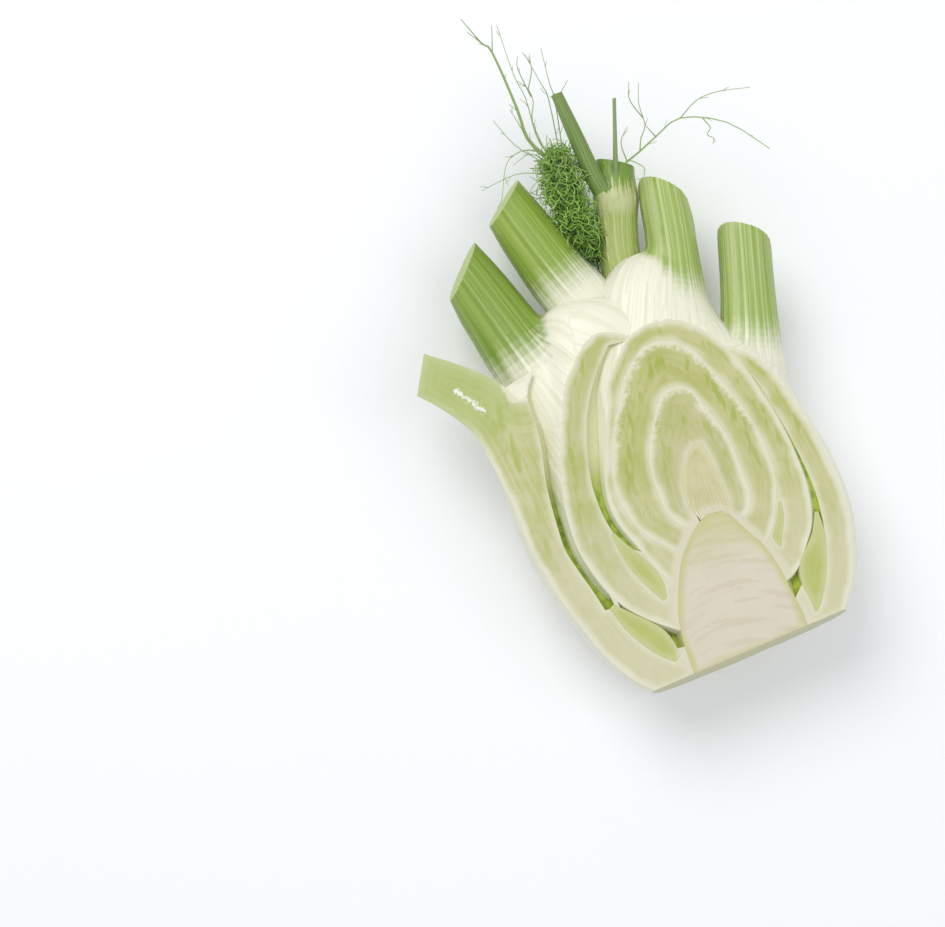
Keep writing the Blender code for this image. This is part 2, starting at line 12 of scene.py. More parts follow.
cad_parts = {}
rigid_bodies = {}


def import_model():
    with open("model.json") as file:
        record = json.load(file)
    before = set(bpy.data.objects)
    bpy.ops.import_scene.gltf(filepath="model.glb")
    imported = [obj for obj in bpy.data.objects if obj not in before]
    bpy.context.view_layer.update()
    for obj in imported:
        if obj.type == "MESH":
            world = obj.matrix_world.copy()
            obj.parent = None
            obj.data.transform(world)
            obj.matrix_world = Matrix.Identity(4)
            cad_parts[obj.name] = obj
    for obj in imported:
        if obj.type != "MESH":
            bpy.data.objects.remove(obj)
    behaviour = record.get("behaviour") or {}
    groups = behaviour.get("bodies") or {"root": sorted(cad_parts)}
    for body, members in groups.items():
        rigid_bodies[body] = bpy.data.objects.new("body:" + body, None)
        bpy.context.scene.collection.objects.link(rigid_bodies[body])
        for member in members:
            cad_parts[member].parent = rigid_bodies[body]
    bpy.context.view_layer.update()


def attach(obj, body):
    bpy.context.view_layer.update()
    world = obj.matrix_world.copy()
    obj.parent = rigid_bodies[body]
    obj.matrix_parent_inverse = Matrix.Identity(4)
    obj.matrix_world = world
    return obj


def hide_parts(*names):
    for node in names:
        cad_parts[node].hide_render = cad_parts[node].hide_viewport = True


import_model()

# The core: the solid, creamy stem inside the bulb, which every leaf grows from. It was sliced lengthwise
# with a knife, so its flat face shows the pale pith, and the root end was trimmed straight off.
# Sizes in every table are millimetres, with the cut face at a height of 42.
CUT_HEIGHT = 42.0
RESTING_SPOT = (-13.5, 64.0, 0.8)
LEAF_GAP = 0.03
OVAL, ROUNDED = 2.4, 2.2
ON_CUT = CUT_HEIGHT - 0.01
RIM_TOLERANCE, SKIN_TOLERANCE, FLAT_TOLERANCE = 0.1, 0.3, 0.02
FACING = 0.99
END_REACH = 15
SHARP_ANGLE = math.radians(38)
KNIFE_FROM, KNIFE_TO, KNIFE_STEP, KNIFE_THICKNESS = (-96, -14), (52, 120), 0.8, 40
BLOCK_SIZE = 400
TURN_TO_LENGTH = 40
NO_RIM = 20.0
NO_CORE = 40.0
ROOT_END = {"turn": 10.0, "lean": 6.5, "y": -1.1}
CORE_ROWS = [
    (-11, -20, 21.5, 18, 34), (4, -21.8, 21.3, 18, 34), (14, -21.8, 19.3, 19, 34),
    (22, -20.5, 17.8, 20.5, 34), (30, -17.8, 14.5, 22.5, 34.5), (36, -14.5, 10.5, 25, 35),
    (41, -9.5, 6.5, 29, 36.5), (44, -3.8, 1.6, 34, 39),
]

bench = bpy.data.collections.new("bench")
bpy.context.scene.collection.children.link(bench)


def on_bench(name, mesh):
    made = bpy.data.objects.new(name, mesh)
    bench.objects.link(made)
    return made


def smooth_rows(rows, between):
    """The rows with `between` more put in each step, on a curve through them all."""
    table = np.array(rows, float)
    padded = np.vstack([2 * table[0] - table[1], table, 2 * table[-1] - table[-2]])
    found = []
    for before, start, end, after in zip(padded, padded[1:], padded[2:], padded[3:]):
        for step in range(between + 1):
            t = step / (between + 1)
            bend = (2 * before - 5 * start + 4 * end - after) * t**2
            twist = (3 * start - before - 3 * end + after) * t**3
            found.append(start + ((end - before) * t + bend + twist) / 2)
    return np.array(found + [table[-1]])


def egg_sections(rows, between):
    """Sections straight across the bulb, as (centre, half width, half depth, turn)."""
    found = []
    for y, left, right, low, middle in smooth_rows(rows, between):
        found.append(((left + right) / 2, y, middle, (right - left) / 2, middle - low, 0.0))
    return np.array(found)


def loft(name, sections, columns, squareness):
    """A closed skin through rounded sections of (x, y, z, half width, half depth, turn in degrees)."""
    angles = np.linspace(0, 2 * np.pi, columns, endpoint=False)
    wide = np.sign(np.cos(angles)) * np.abs(np.cos(angles)) ** (2 / squareness)
    deep = np.sign(np.sin(angles)) * np.abs(np.sin(angles)) ** (2 / squareness)
    points = []
    for x, y, z, half_width, half_depth, turn in sections:
        out = wide * half_width
        c, s = math.cos(math.radians(turn)), math.sin(math.radians(turn))
        points.append(np.stack([x + c * out, y + s * out, z + deep * half_depth], 1))
    count = len(sections)
    faces = [tuple(range(columns)), tuple(range(count * columns - 1, (count - 1) * columns - 1, -1))]
    for row in range(count - 1):
        for column in range(columns):
            following = (column + 1) % columns
            low, high = row * columns, (row + 1) * columns
            faces.append((low + following, low + column, high + column, high + following))
    mesh = bpy.data.meshes.new(name)
    mesh.from_pydata(np.concatenate(points).tolist(), [], faces)
    shape = bmesh.new()
    shape.from_mesh(mesh)
    bmesh.ops.recalc_face_normals(shape, faces=shape.faces)
    shape.to_mesh(mesh)
    shape.free()
    return on_bench(name, mesh)


def worked(thing, *steps):
    """Carries out each step of (modifier, its settings) and keeps what comes out as the mesh."""
    for kind, settings in steps:
        step = thing.modifiers.new(kind, kind)
        for key, value in settings.items():
            setattr(step, key, value)
    graph = bpy.context.evaluated_depsgraph_get()
    mesh = bpy.data.meshes.new_from_object(thing.evaluated_get(graph))
    thing.modifiers.clear()
    thing.data = mesh
    return thing


def cut_by(cutter):
    return "BOOLEAN", {"operation": "DIFFERENCE", "object": cutter, "solver": "MANIFOLD"}


def joined_to(other):
    return "BOOLEAN", {"operation": "UNION", "object": other, "solver": "MANIFOLD"}


def store(mesh, name, values):
    """Keeps a number, or three, on each point of the mesh, for its material to read."""
    kind, key = ("FLOAT_VECTOR", "vector") if values.ndim > 1 else ("FLOAT", "value")
    mesh.attributes.new(name, kind, "POINT").data.foreach_set(key, values.astype(np.float32).ravel())


def values_of(items, name, width, kind=np.float32):
    found = np.empty(len(items) * width, kind)
    items.foreach_get(name, found)
    return found.reshape(-1, width) if width > 1 else found


def grown(thing, amount):
    """The same shape, larger all round by the amount."""
    mesh = thing.data.copy()
    normals = np.array([vert.normal for vert in mesh.vertices])
    points = values_of(mesh.vertices, "co", 3) + normals * amount
    mesh.vertices.foreach_set("co", points.astype(np.float32).ravel())
    mesh.update()
    return on_bench(thing.name + " room", mesh)


def knife_block():
    """What the knife took off: a slab whose underside is a fine grid, which the cut face takes over."""
    across = np.arange(KNIFE_FROM[0], KNIFE_TO[0], KNIFE_STEP)
    along = np.arange(KNIFE_FROM[1], KNIFE_TO[1], KNIFE_STEP)
    wide, tall = len(across), len(along)
    points = [(x, y, CUT_HEIGHT) for y in along for x in across]
    faces = []
    for row in range(tall - 1):
        for column in range(wide - 1):
            start = row * wide + column
            faces.append((start, start + wide, start + wide + 1, start + 1))
    rim = list(range(wide)) + [row * wide + wide - 1 for row in range(1, tall)]
    rim += [(tall - 1) * wide + column for column in range(wide - 2, -1, -1)]
    rim += [row * wide for row in range(tall - 2, 0, -1)]
    raised = {}
    for index in rim:
        raised[index] = len(points)
        points.append((points[index][0], points[index][1], CUT_HEIGHT + KNIFE_THICKNESS))
    for here, following in zip(rim, rim[1:] + rim[:1]):
        faces.append((here, following, raised[following], raised[here]))
    faces.append(tuple(raised[index] for index in rim))
    mesh = bpy.data.meshes.new("knife")
    mesh.from_pydata(points, [], faces)
    return on_bench("knife", mesh)


def slab(name, corner, way):
    """A large block whose near face passes through the corner point and faces back against `way`."""
    shape = bmesh.new()
    bmesh.ops.create_cube(shape, size=BLOCK_SIZE)
    turn = Vector(way).to_track_quat("Z", "Y").to_matrix().to_4x4()
    back = Matrix.Translation((0, 0, BLOCK_SIZE / 2))
    bmesh.ops.transform(shape, matrix=Matrix.Translation(corner) @ turn @ back, verts=shape.verts)
    mesh = bpy.data.meshes.new(name)
    shape.to_mesh(mesh)
    shape.free()
    return on_bench(name, mesh)


knife = knife_block()
root_turn, root_lean = math.radians(ROOT_END["turn"]), math.radians(ROOT_END["lean"])
root_way = Vector((math.sin(root_turn), -math.cos(root_turn) * math.cos(root_lean), math.sin(root_lean)))
root_point = Vector((0, ROOT_END["y"], CUT_HEIGHT))
root_trim = slab("root trim", root_point, root_way)
table_top = slab("table top", Vector((0, 50, RESTING_SPOT[2])), Vector((0, 0, -1)))


def shade(red, green, blue):
    """A colour as an eye reads it, 0 to 255, turned into light."""
    found = [value / 255 for value in (red, green, blue)]
    return (*[v / 12.92 if v <= 0.04045 else ((v + 0.055) / 1.055) ** 2.4 for v in found], 1.0)


def put(tree, kind, settings=(), **sockets):
    """One shader node, with each socket set to a value or joined to another node's output."""
    made = tree.nodes.new("ShaderNode" + kind)
    for name, value in dict(settings).items():
        setattr(made, name, value)
    for name, value in sockets.items():
        socket = made.inputs[int(name[1:])] if name[0] == "_" else made.inputs[name.replace("_", " ")]
        if isinstance(value, bpy.types.NodeSocket):
            tree.links.new(value, socket)
        else:
            socket.default_value = value
    return made


def reckon(tree, operation, *values):
    sockets = {f"_{number}": value for number, value in enumerate(values)}
    return put(tree, "Math", {"operation": operation}, **sockets).outputs[0]


def plus(tree, first, second):
    return reckon(tree, "ADD", first, second)


def times(tree, first, second):
    return reckon(tree, "MULTIPLY", first, second)


def apart(tree, first, second):
    return reckon(tree, "ABSOLUTE", reckon(tree, "SUBTRACT", first, second))


def scaled(tree, vector, amounts):
    return put(tree, "VectorMath", {"operation": "MULTIPLY"}, _0=vector, _1=amounts).outputs[0]


def speckle(tree, at, scale, detail, roughness=0.5, kind="3D"):
    """Soft noise round 0.5, in the space of `at`."""
    made = put(tree, "TexNoise", {"noise_dimensions": kind}, Vector=at, Scale=scale, Detail=detail)
    made.inputs["Roughness"].default_value = roughness
    return made.outputs[0]


def sway(tree, noise, width):
    """The noise as a shift to either side, so wide in all."""
    return times(tree, reckon(tree, "SUBTRACT", noise, 0.5), width)


def place_in_mm(tree):
    """Where a point of the model lies, in mm from the resting spot, then its three parts."""
    place = scaled(tree, put(tree, "TexCoord").outputs["Object"], (1000, 1000, 1000))
    return place, *put(tree, "SeparateXYZ", Vector=place).outputs


def blend_colour(tree, share, first, second):
    return put(tree, "Mix", {"data_type": "RGBA"}, _0=share, _6=first, _7=second).outputs[2]


def rise(tree, value, low, high):
    """0 below `low`, 1 above `high`, and a soft step between."""
    soft = {"interpolation_type": "SMOOTHSTEP"}
    return put(tree, "MapRange", soft, _0=value, _1=low, _2=high, _3=0.0, _4=1.0).outputs[0]


def new_material(name):
    made = bpy.data.materials.new(name)
    made.use_nodes = True
    tree = made.node_tree
    return made, tree, tree.nodes["Principled BSDF"]


def read_point(tree, name):
    made = tree.nodes.new("ShaderNodeAttribute")
    made.attribute_name = name
    return made


def tint(tree, shader, share, tone):
    """Lays a tone over the colour that the material has so far."""
    so_far = shader.inputs["Base Color"].links[0].from_socket
    tree.links.new(blend_colour(tree, share, so_far, shade(*tone)), shader.inputs["Base Color"])


def finish_material(tree, shader, colour, height, roughness, strength, distance):
    bump = put(tree, "Bump", Strength=strength, Distance=distance, Height=height)
    tree.links.new(colour, shader.inputs["Base Color"])
    tree.links.new(bump.outputs[0], shader.inputs["Normal"])
    shader.inputs["Roughness"].default_value = roughness


def flesh_marks():
    """Shared by every cut face: masks for its rims, its vessels and its tones, from distances in mm."""
    group = bpy.data.node_groups.new("flesh marks", "ShaderNodeTree")
    group.interface.new_socket("Band", in_out="INPUT", socket_type="NodeSocketVector")
    for name in ("Core distance", "Dash place", "Crinkled"):
        group.interface.new_socket(name, in_out="INPUT", socket_type="NodeSocketFloat")
    for name in ("Edge", "Dashes", "Fibres", "Mottle", "Low", "By core", "Height"):
        group.interface.new_socket(name, in_out="OUTPUT", socket_type="NodeSocketFloat")
    given, out = group.nodes.new("NodeGroupInput"), group.nodes.new("NodeGroupOutput")
    outer, inner, run = put(group, "SeparateXYZ", Vector=given.outputs["Band"]).outputs
    place, _, up, _ = place_in_mm(group)
    crinkle = speckle(group, place, 0.7, 3.0, 0.65)
    drift = speckle(group, place, 0.12, 2.0)
    wavy = sway(group, drift, 3.0)
    upper = times(group, given.outputs["Crinkled"], rise(group, up, -6.0, 12.0))
    frill = times(group, reckon(group, "SUBTRACT", crinkle, 0.5), times(group, upper, 5.0))
    shifted = plus(group, wavy, frill)
    outer_rim = rise(group, plus(group, outer, shifted), 2.8, 0.3)
    inner_rim = rise(group, plus(group, inner, wavy), 2.4, -0.4)
    edge = reckon(group, "MAXIMUM", outer_rim, times(group, inner_rim, 0.75))
    share = reckon(group, "DIVIDE", outer, reckon(group, "MAXIMUM", plus(group, outer, inner), 0.1))
    off_dashes = apart(group, share, given.outputs["Dash place"])
    streaks = speckle(group, scaled(group, place, (0.5, 0.12, 0.3)), 1.0, 2.0)
    dashes = times(group, rise(group, off_dashes, 0.3, 0.02), rise(group, streaks, 0.5, 0.62))
    fibre_at = put(group, "CombineXYZ", X=times(group, run, 0.03), Y=times(group, outer, 0.75)).outputs[0]
    fibres = speckle(group, fibre_at, 1.0, 3.0, kind="2D")
    mottle = speckle(group, place, 0.11, 4.0)
    low = rise(group, plus(group, up, sway(group, mottle, 30.0)), 8.0, -56.0)
    by_core = rise(group, plus(group, given.outputs["Core distance"], shifted), 3.4, 1.4)
    height = plus(group, times(group, fibres, 0.8), times(group, crinkle, 0.5))
    found = {
        "Edge": edge, "Dashes": dashes, "Fibres": fibres, "Mottle": mottle, "Low": low, "By core": by_core,
        "Height": height,
    }
    for name, value in found.items():
        group.links.new(value, out.inputs[name])
    return group


FLESH_MARKS = flesh_marks()
LOW_FLESH = (210, 204, 171)
BY_CORE = (215, 209, 184)


def cut_flesh(name, pale, deep, dash, edge, dash_place=0.42, low=LOW_FLESH, crinkled=0.0):
    """Wet cut flesh: two mottled tones, soft green vessels, a pale rim along each skin and a pale foot."""
    made, tree, shader = new_material(name)
    marks = tree.nodes.new("ShaderNodeGroup")
    marks.node_tree = FLESH_MARKS
    tree.links.new(read_point(tree, "band").outputs["Vector"], marks.inputs["Band"])
    tree.links.new(read_point(tree, "core_distance").outputs["Fac"], marks.inputs["Core distance"])
    marks.inputs["Dash place"].default_value = dash_place
    marks.inputs["Crinkled"].default_value = crinkled
    tone = plus(tree, times(tree, marks.outputs["Fibres"], 0.45), times(tree, marks.outputs["Mottle"], 0.6))
    colour = blend_colour(tree, rise(tree, tone, 0.38, 0.68), shade(*pale), shade(*deep))
    layers = [("Dashes", 0.75, dash), ("Low", 0.8, low), ("Edge", 0.85, edge), ("By core", 0.8, BY_CORE)]
    for mask, strength, tint in layers:
        colour = blend_colour(tree, times(tree, marks.outputs[mask], strength), colour, shade(*tint))
    finish_material(tree, shader, colour, marks.outputs["Height"], 0.42, 0.25, 0.0004)
    return made, tree, shader


def mark_cut(thing, skin_tree, middle):
    """Stores how far each point of the cut face is from its outer edge, inner edge, and along the band."""
    mesh = thing.data
    points = values_of(mesh.vertices, "co", 3)
    on_cut = points[:, 2] > ON_CUT
    rim = set()
    for polygon in mesh.polygons:
        inside = [on_cut[index] for index in polygon.vertices]
        if any(inside) and not all(inside):
            rim.update(index for index, there in zip(polygon.vertices, inside) if there)
    rims = {"outer": [], "inner": []}
    for index in rim:
        place = Vector(points[index])
        _, _, _, off = skin_tree.find_nearest(place)
        rims["outer" if off < RIM_TOLERANCE else "inner"].append(place)
    trees = {}
    for key, places in rims.items():
        trees[key] = KDTree(max(1, len(places)))
        for number, place in enumerate(places):
            trees[key].insert(place, number)
        trees[key].balance()
    band = np.zeros((len(points), 3), np.float32)
    for index in np.nonzero(on_cut)[0]:
        place = Vector(points[index])
        edge_place, outer = place, NO_RIM
        if rims["outer"]:
            edge_place, _, outer = trees["outer"].find(place)
        inner = trees["inner"].find(place)[2] if rims["inner"] else NO_RIM
        turn = math.atan2(edge_place[0] - middle[0], edge_place[1] - middle[1])
        band[index] = (outer, inner, turn * TURN_TO_LENGTH)
    store(mesh, "band", band)
    near_core = np.full(len(points), NO_CORE, np.float32)
    if thing.name != "grown_core":
        for index in np.nonzero(on_cut)[0]:
            near_core[index] = core_skin.find_nearest(Vector(points[index]))[3]
    store(mesh, "core_distance", near_core)


def sort_faces(thing, skin_tree, end_planes):
    """Gives each face its finish: 0 skin, 1 cut face, 2 a stalk's cut end, 3 root end, 4 inside wall."""
    mesh = thing.data
    centres, normals = values_of(mesh.polygons, "center", 3), values_of(mesh.polygons, "normal", 3)
    finish = np.zeros(len(centres), np.int32)
    for index, centre in enumerate(centres):
        _, _, _, off = skin_tree.find_nearest(Vector(centre))
        if off > SKIN_TOLERANCE:
            finish[index] = 4
    finish[(centres[:, 2] > ON_CUT) & (normals[:, 2] > 0.9)] = 1
    for kind, reach, planes in ((3, math.inf, [(root_point, root_way)]), (2, END_REACH, end_planes)):
        for point, way in planes:
            from_point = centres - np.array(point)
            flat = (np.abs(from_point @ np.array(way)) < FLAT_TOLERANCE) & (normals @ np.array(way) > FACING)
            finish[flat & (np.linalg.norm(from_point, axis=1) < reach)] = kind
    mesh.polygons.foreach_set("material_index", finish)


def to_place(thing, node, finishes):
    """Scales a finished piece to metres, sets it where the model lies, and puts it in the node's stead."""
    mesh = thing.data
    mesh.transform(Matrix.Scale(0.001, 4) @ Matrix.Translation(-Vector(RESTING_SPOT)))
    chosen = values_of(mesh.polygons, "material_index", 1, np.int32)
    mesh.materials.clear()
    for finish in finishes:
        mesh.materials.append(finish)
    mesh.polygons.foreach_set("material_index", chosen)
    mesh.shade_smooth()
    mesh.set_sharp_from_angle(angle=SHARP_ANGLE)
    bench.objects.unlink(thing)
    bpy.context.scene.collection.objects.link(thing)
    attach(thing, "root")
    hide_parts(node)


def skin_of(thing):
    mesh = thing.data
    mesh.calc_loop_triangles()
    corners = [tuple(triangle.vertices) for triangle in mesh.loop_triangles]
    return BVHTree.FromPolygons([tuple(v.co) for v in mesh.vertices], corners)


def pith_finish():
    """The core's cut face: creamy pith with faint cross lines, greener near its tip and along its rim."""
    pale, deep, rim = (215, 206, 184), (205, 196, 169), (194, 194, 126)
    made, tree, shader = cut_flesh("pith", pale, deep, deep, rim, 2.0, (215, 206, 186))
    _, across, up, _ = place_in_mm(tree)
    off_middle = apart(tree, across, -RESTING_SPOT[0])
    bowed = plus(tree, up, times(tree, reckon(tree, "POWER", off_middle, 2.0), 0.012))
    line_at = put(tree, "CombineXYZ", X=times(tree, across, 0.05), Y=times(tree, bowed, 0.42)).outputs[0]
    lines = speckle(tree, line_at, 1.0, 3.0, kind="2D")
    tint(tree, shader, times(tree, rise(tree, lines, 0.5, 0.64), 0.4), (198, 187, 158))
    tip = rise(tree, plus(tree, bowed, times(tree, lines, 10.0)), -34.0, -15.0)
    tint(tree, shader, times(tree, tip, 0.75), (197, 194, 136))
    return made


pith = pith_finish()
ROOT_PALE, ROOT_DEEP = (193, 190, 143), (172, 170, 116)
root_cut, _, _ = cut_flesh("root cut", ROOT_PALE, ROOT_DEEP, ROOT_DEEP, (196, 193, 150), low=(190, 186, 138))
core = loft("grown_core", egg_sections(CORE_ROWS, 8), 96, OVAL)
core_room = grown(core, LEAF_GAP)
core_skin = skin_of(core)
worked(core, cut_by(knife), cut_by(root_trim), cut_by(table_top))
mark_cut(core, core_skin, (0, 20))
sort_faces(core, core_skin, [])
to_place(core, "core", [pith, pith, pith, root_cut, pith])
inside = core_room

# The side buds: small green shoots asleep in the leaf bases' armpits, each sliced through lengthwise
# with the bulb. They grow on the core, so they sit against its sides.
BUD_ROWS = {
    "side_bud_outer_left": [
        (-22.9, 1.4, 40.5, 1.6, 2.6, 46), (-25.2, 4.6, 40, 3.3, 4, 44), (-28.2, 8.5, 40, 4.2, 4.6, 42),
        (-31.6, 12.2, 40, 4, 4.4, 40), (-35.9, 16.9, 40.3, 2.8, 3.8, 38), (-39.8, 22.2, 41, 1.1, 1.8, 36),
    ],
    "side_bud_inner_left": [
        (-22.6, 20.6, 40.5, 1.2, 2, 36), (-23.8, 24.6, 40.2, 2.6, 3.4, 36), (-26, 29, 40, 3.3, 4, 36),
        (-29, 34, 40, 3.1, 3.8, 34), (-32, 39.4, 40.4, 1.9, 3, 30), (-34.2, 44.6, 41, 0.7, 1.5, 24),
    ],
    "side_bud_outer_right": [
        (23.4, 6, 40.5, 0.9, 1.8, -14), (24.2, 9.6, 40.2, 2.2, 3, -14), (24.6, 15, 40, 4.1, 4.4, -14),
        (25.7, 20, 40, 4.7, 4.6, -14), (27.7, 24.9, 40, 3.8, 4.2, -14), (29.9, 30, 40.3, 2.3, 3.4, -12),
        (30.9, 37, 41, 0.7, 1.5, -10),
    ],
    "side_bud_inner_right": [
        (17, 28.8, 41, 0.6, 1.2, -12), (16.8, 31.9, 40.6, 1.6, 2.4, -12), (18, 34.7, 40.5, 1.6, 2.4, -12),
        (19.5, 38.7, 40.8, 1.2, 2, -10), (20.2, 42.7, 41.2, 0.6, 1.1, -8),
    ],
}
BUD_TONES = ((192, 194, 126), (174, 181, 94), (146, 166, 54), (196, 199, 140))
bud_flesh, _, _ = cut_flesh("bud flesh", *BUD_TONES, 0.5, (180, 186, 104))
for bud_node, bud_rows in BUD_ROWS.items():
    bud = loft("grown_" + bud_node, smooth_rows(bud_rows, 6), 32, ROUNDED)
    bud_room = grown(bud, LEAF_GAP)
    bud_skin = skin_of(bud)
    worked(bud, cut_by(core_room), cut_by(knife), cut_by(root_trim))
    mark_cut(bud, bud_skin, (bud_rows[2][0], bud_rows[2][1]))
    sort_faces(bud, bud_skin, [])
    to_place(bud, bud_node, [bud_flesh] * 5)
    inside = worked(inside, joined_to(bud_room))

# The heart: the youngest leaves, still folded one inside another on the tip of the core. They are soft and
# creamy, and the knife went through them all, so each shows as a pointed tongue within the next.
HEART_ROWS = [
    (40, -5.6, 3.8, 36, 40), (43.5, -6.5, 4.5, 35, 40), (49, -9, 4.2, 33, 40), (56, -8.8, 3, 32, 39.5),
    (62, -6.6, 1.6, 33, 39.5), (67, -2.6, 0.2, 37, 41),
]
FOLDED_LEAVES = [
    [
        (42, -6.2, -0.8, 37, 41), (48, -7.6, -1.6, 36, 41), (54, -7, -2.2, 36, 41),
        (59, -5.4, -2.4, 37.5, 41.5), (62.6, -3.6, -2.7, 39, 41.6),
    ],
    [
        (42, -5.2, -2.6, 38, 41), (47, -6.2, -3.8, 37.5, 41.3), (52, -5.6, -4.1, 38.5, 41.5),
        (55.6, -4.9, -4.4, 40, 41.7),
    ],
    [
        (42, 0.2, 3.4, 38, 41), (48, -0.4, 3.2, 37.5, 41), (53.4, -0.8, 2.2, 38.5, 41.5),
        (58.6, -1, 0.2, 40, 41.6),
    ],
    [(42, 1.2, 2.6, 39, 41.3), (47, 0.8, 2.2, 38.5, 41.4), (51.4, 0.6, 1.1, 40, 41.7)],
]
HEART_TONES = ((200, 192, 141), (185, 178, 116), (176, 172, 92), (212, 206, 166))
heart_flesh, _, _ = cut_flesh("heart flesh", *HEART_TONES, 0.5, HEART_TONES[0])
heart = loft("grown_heart_leaves", egg_sections(HEART_ROWS, 8), 64, OVAL)
heart_room = grown(heart, LEAF_GAP)
heart_skin = skin_of(heart)
for fold_rows in FOLDED_LEAVES:
    fold = loft("fold", egg_sections(fold_rows, 8), 40, ROUNDED)
    worked(heart, cut_by(grown(fold, LEAF_GAP)))
    worked(heart, joined_to(fold))
worked(heart, cut_by(inside), cut_by(knife))
mark_cut(heart, heart_skin, (-3, 54))
sort_faces(heart, heart_skin, [])
to_place(heart, "heart_leaves", [heart_flesh] * 5)
inside = worked(inside, joined_to(heart_room))

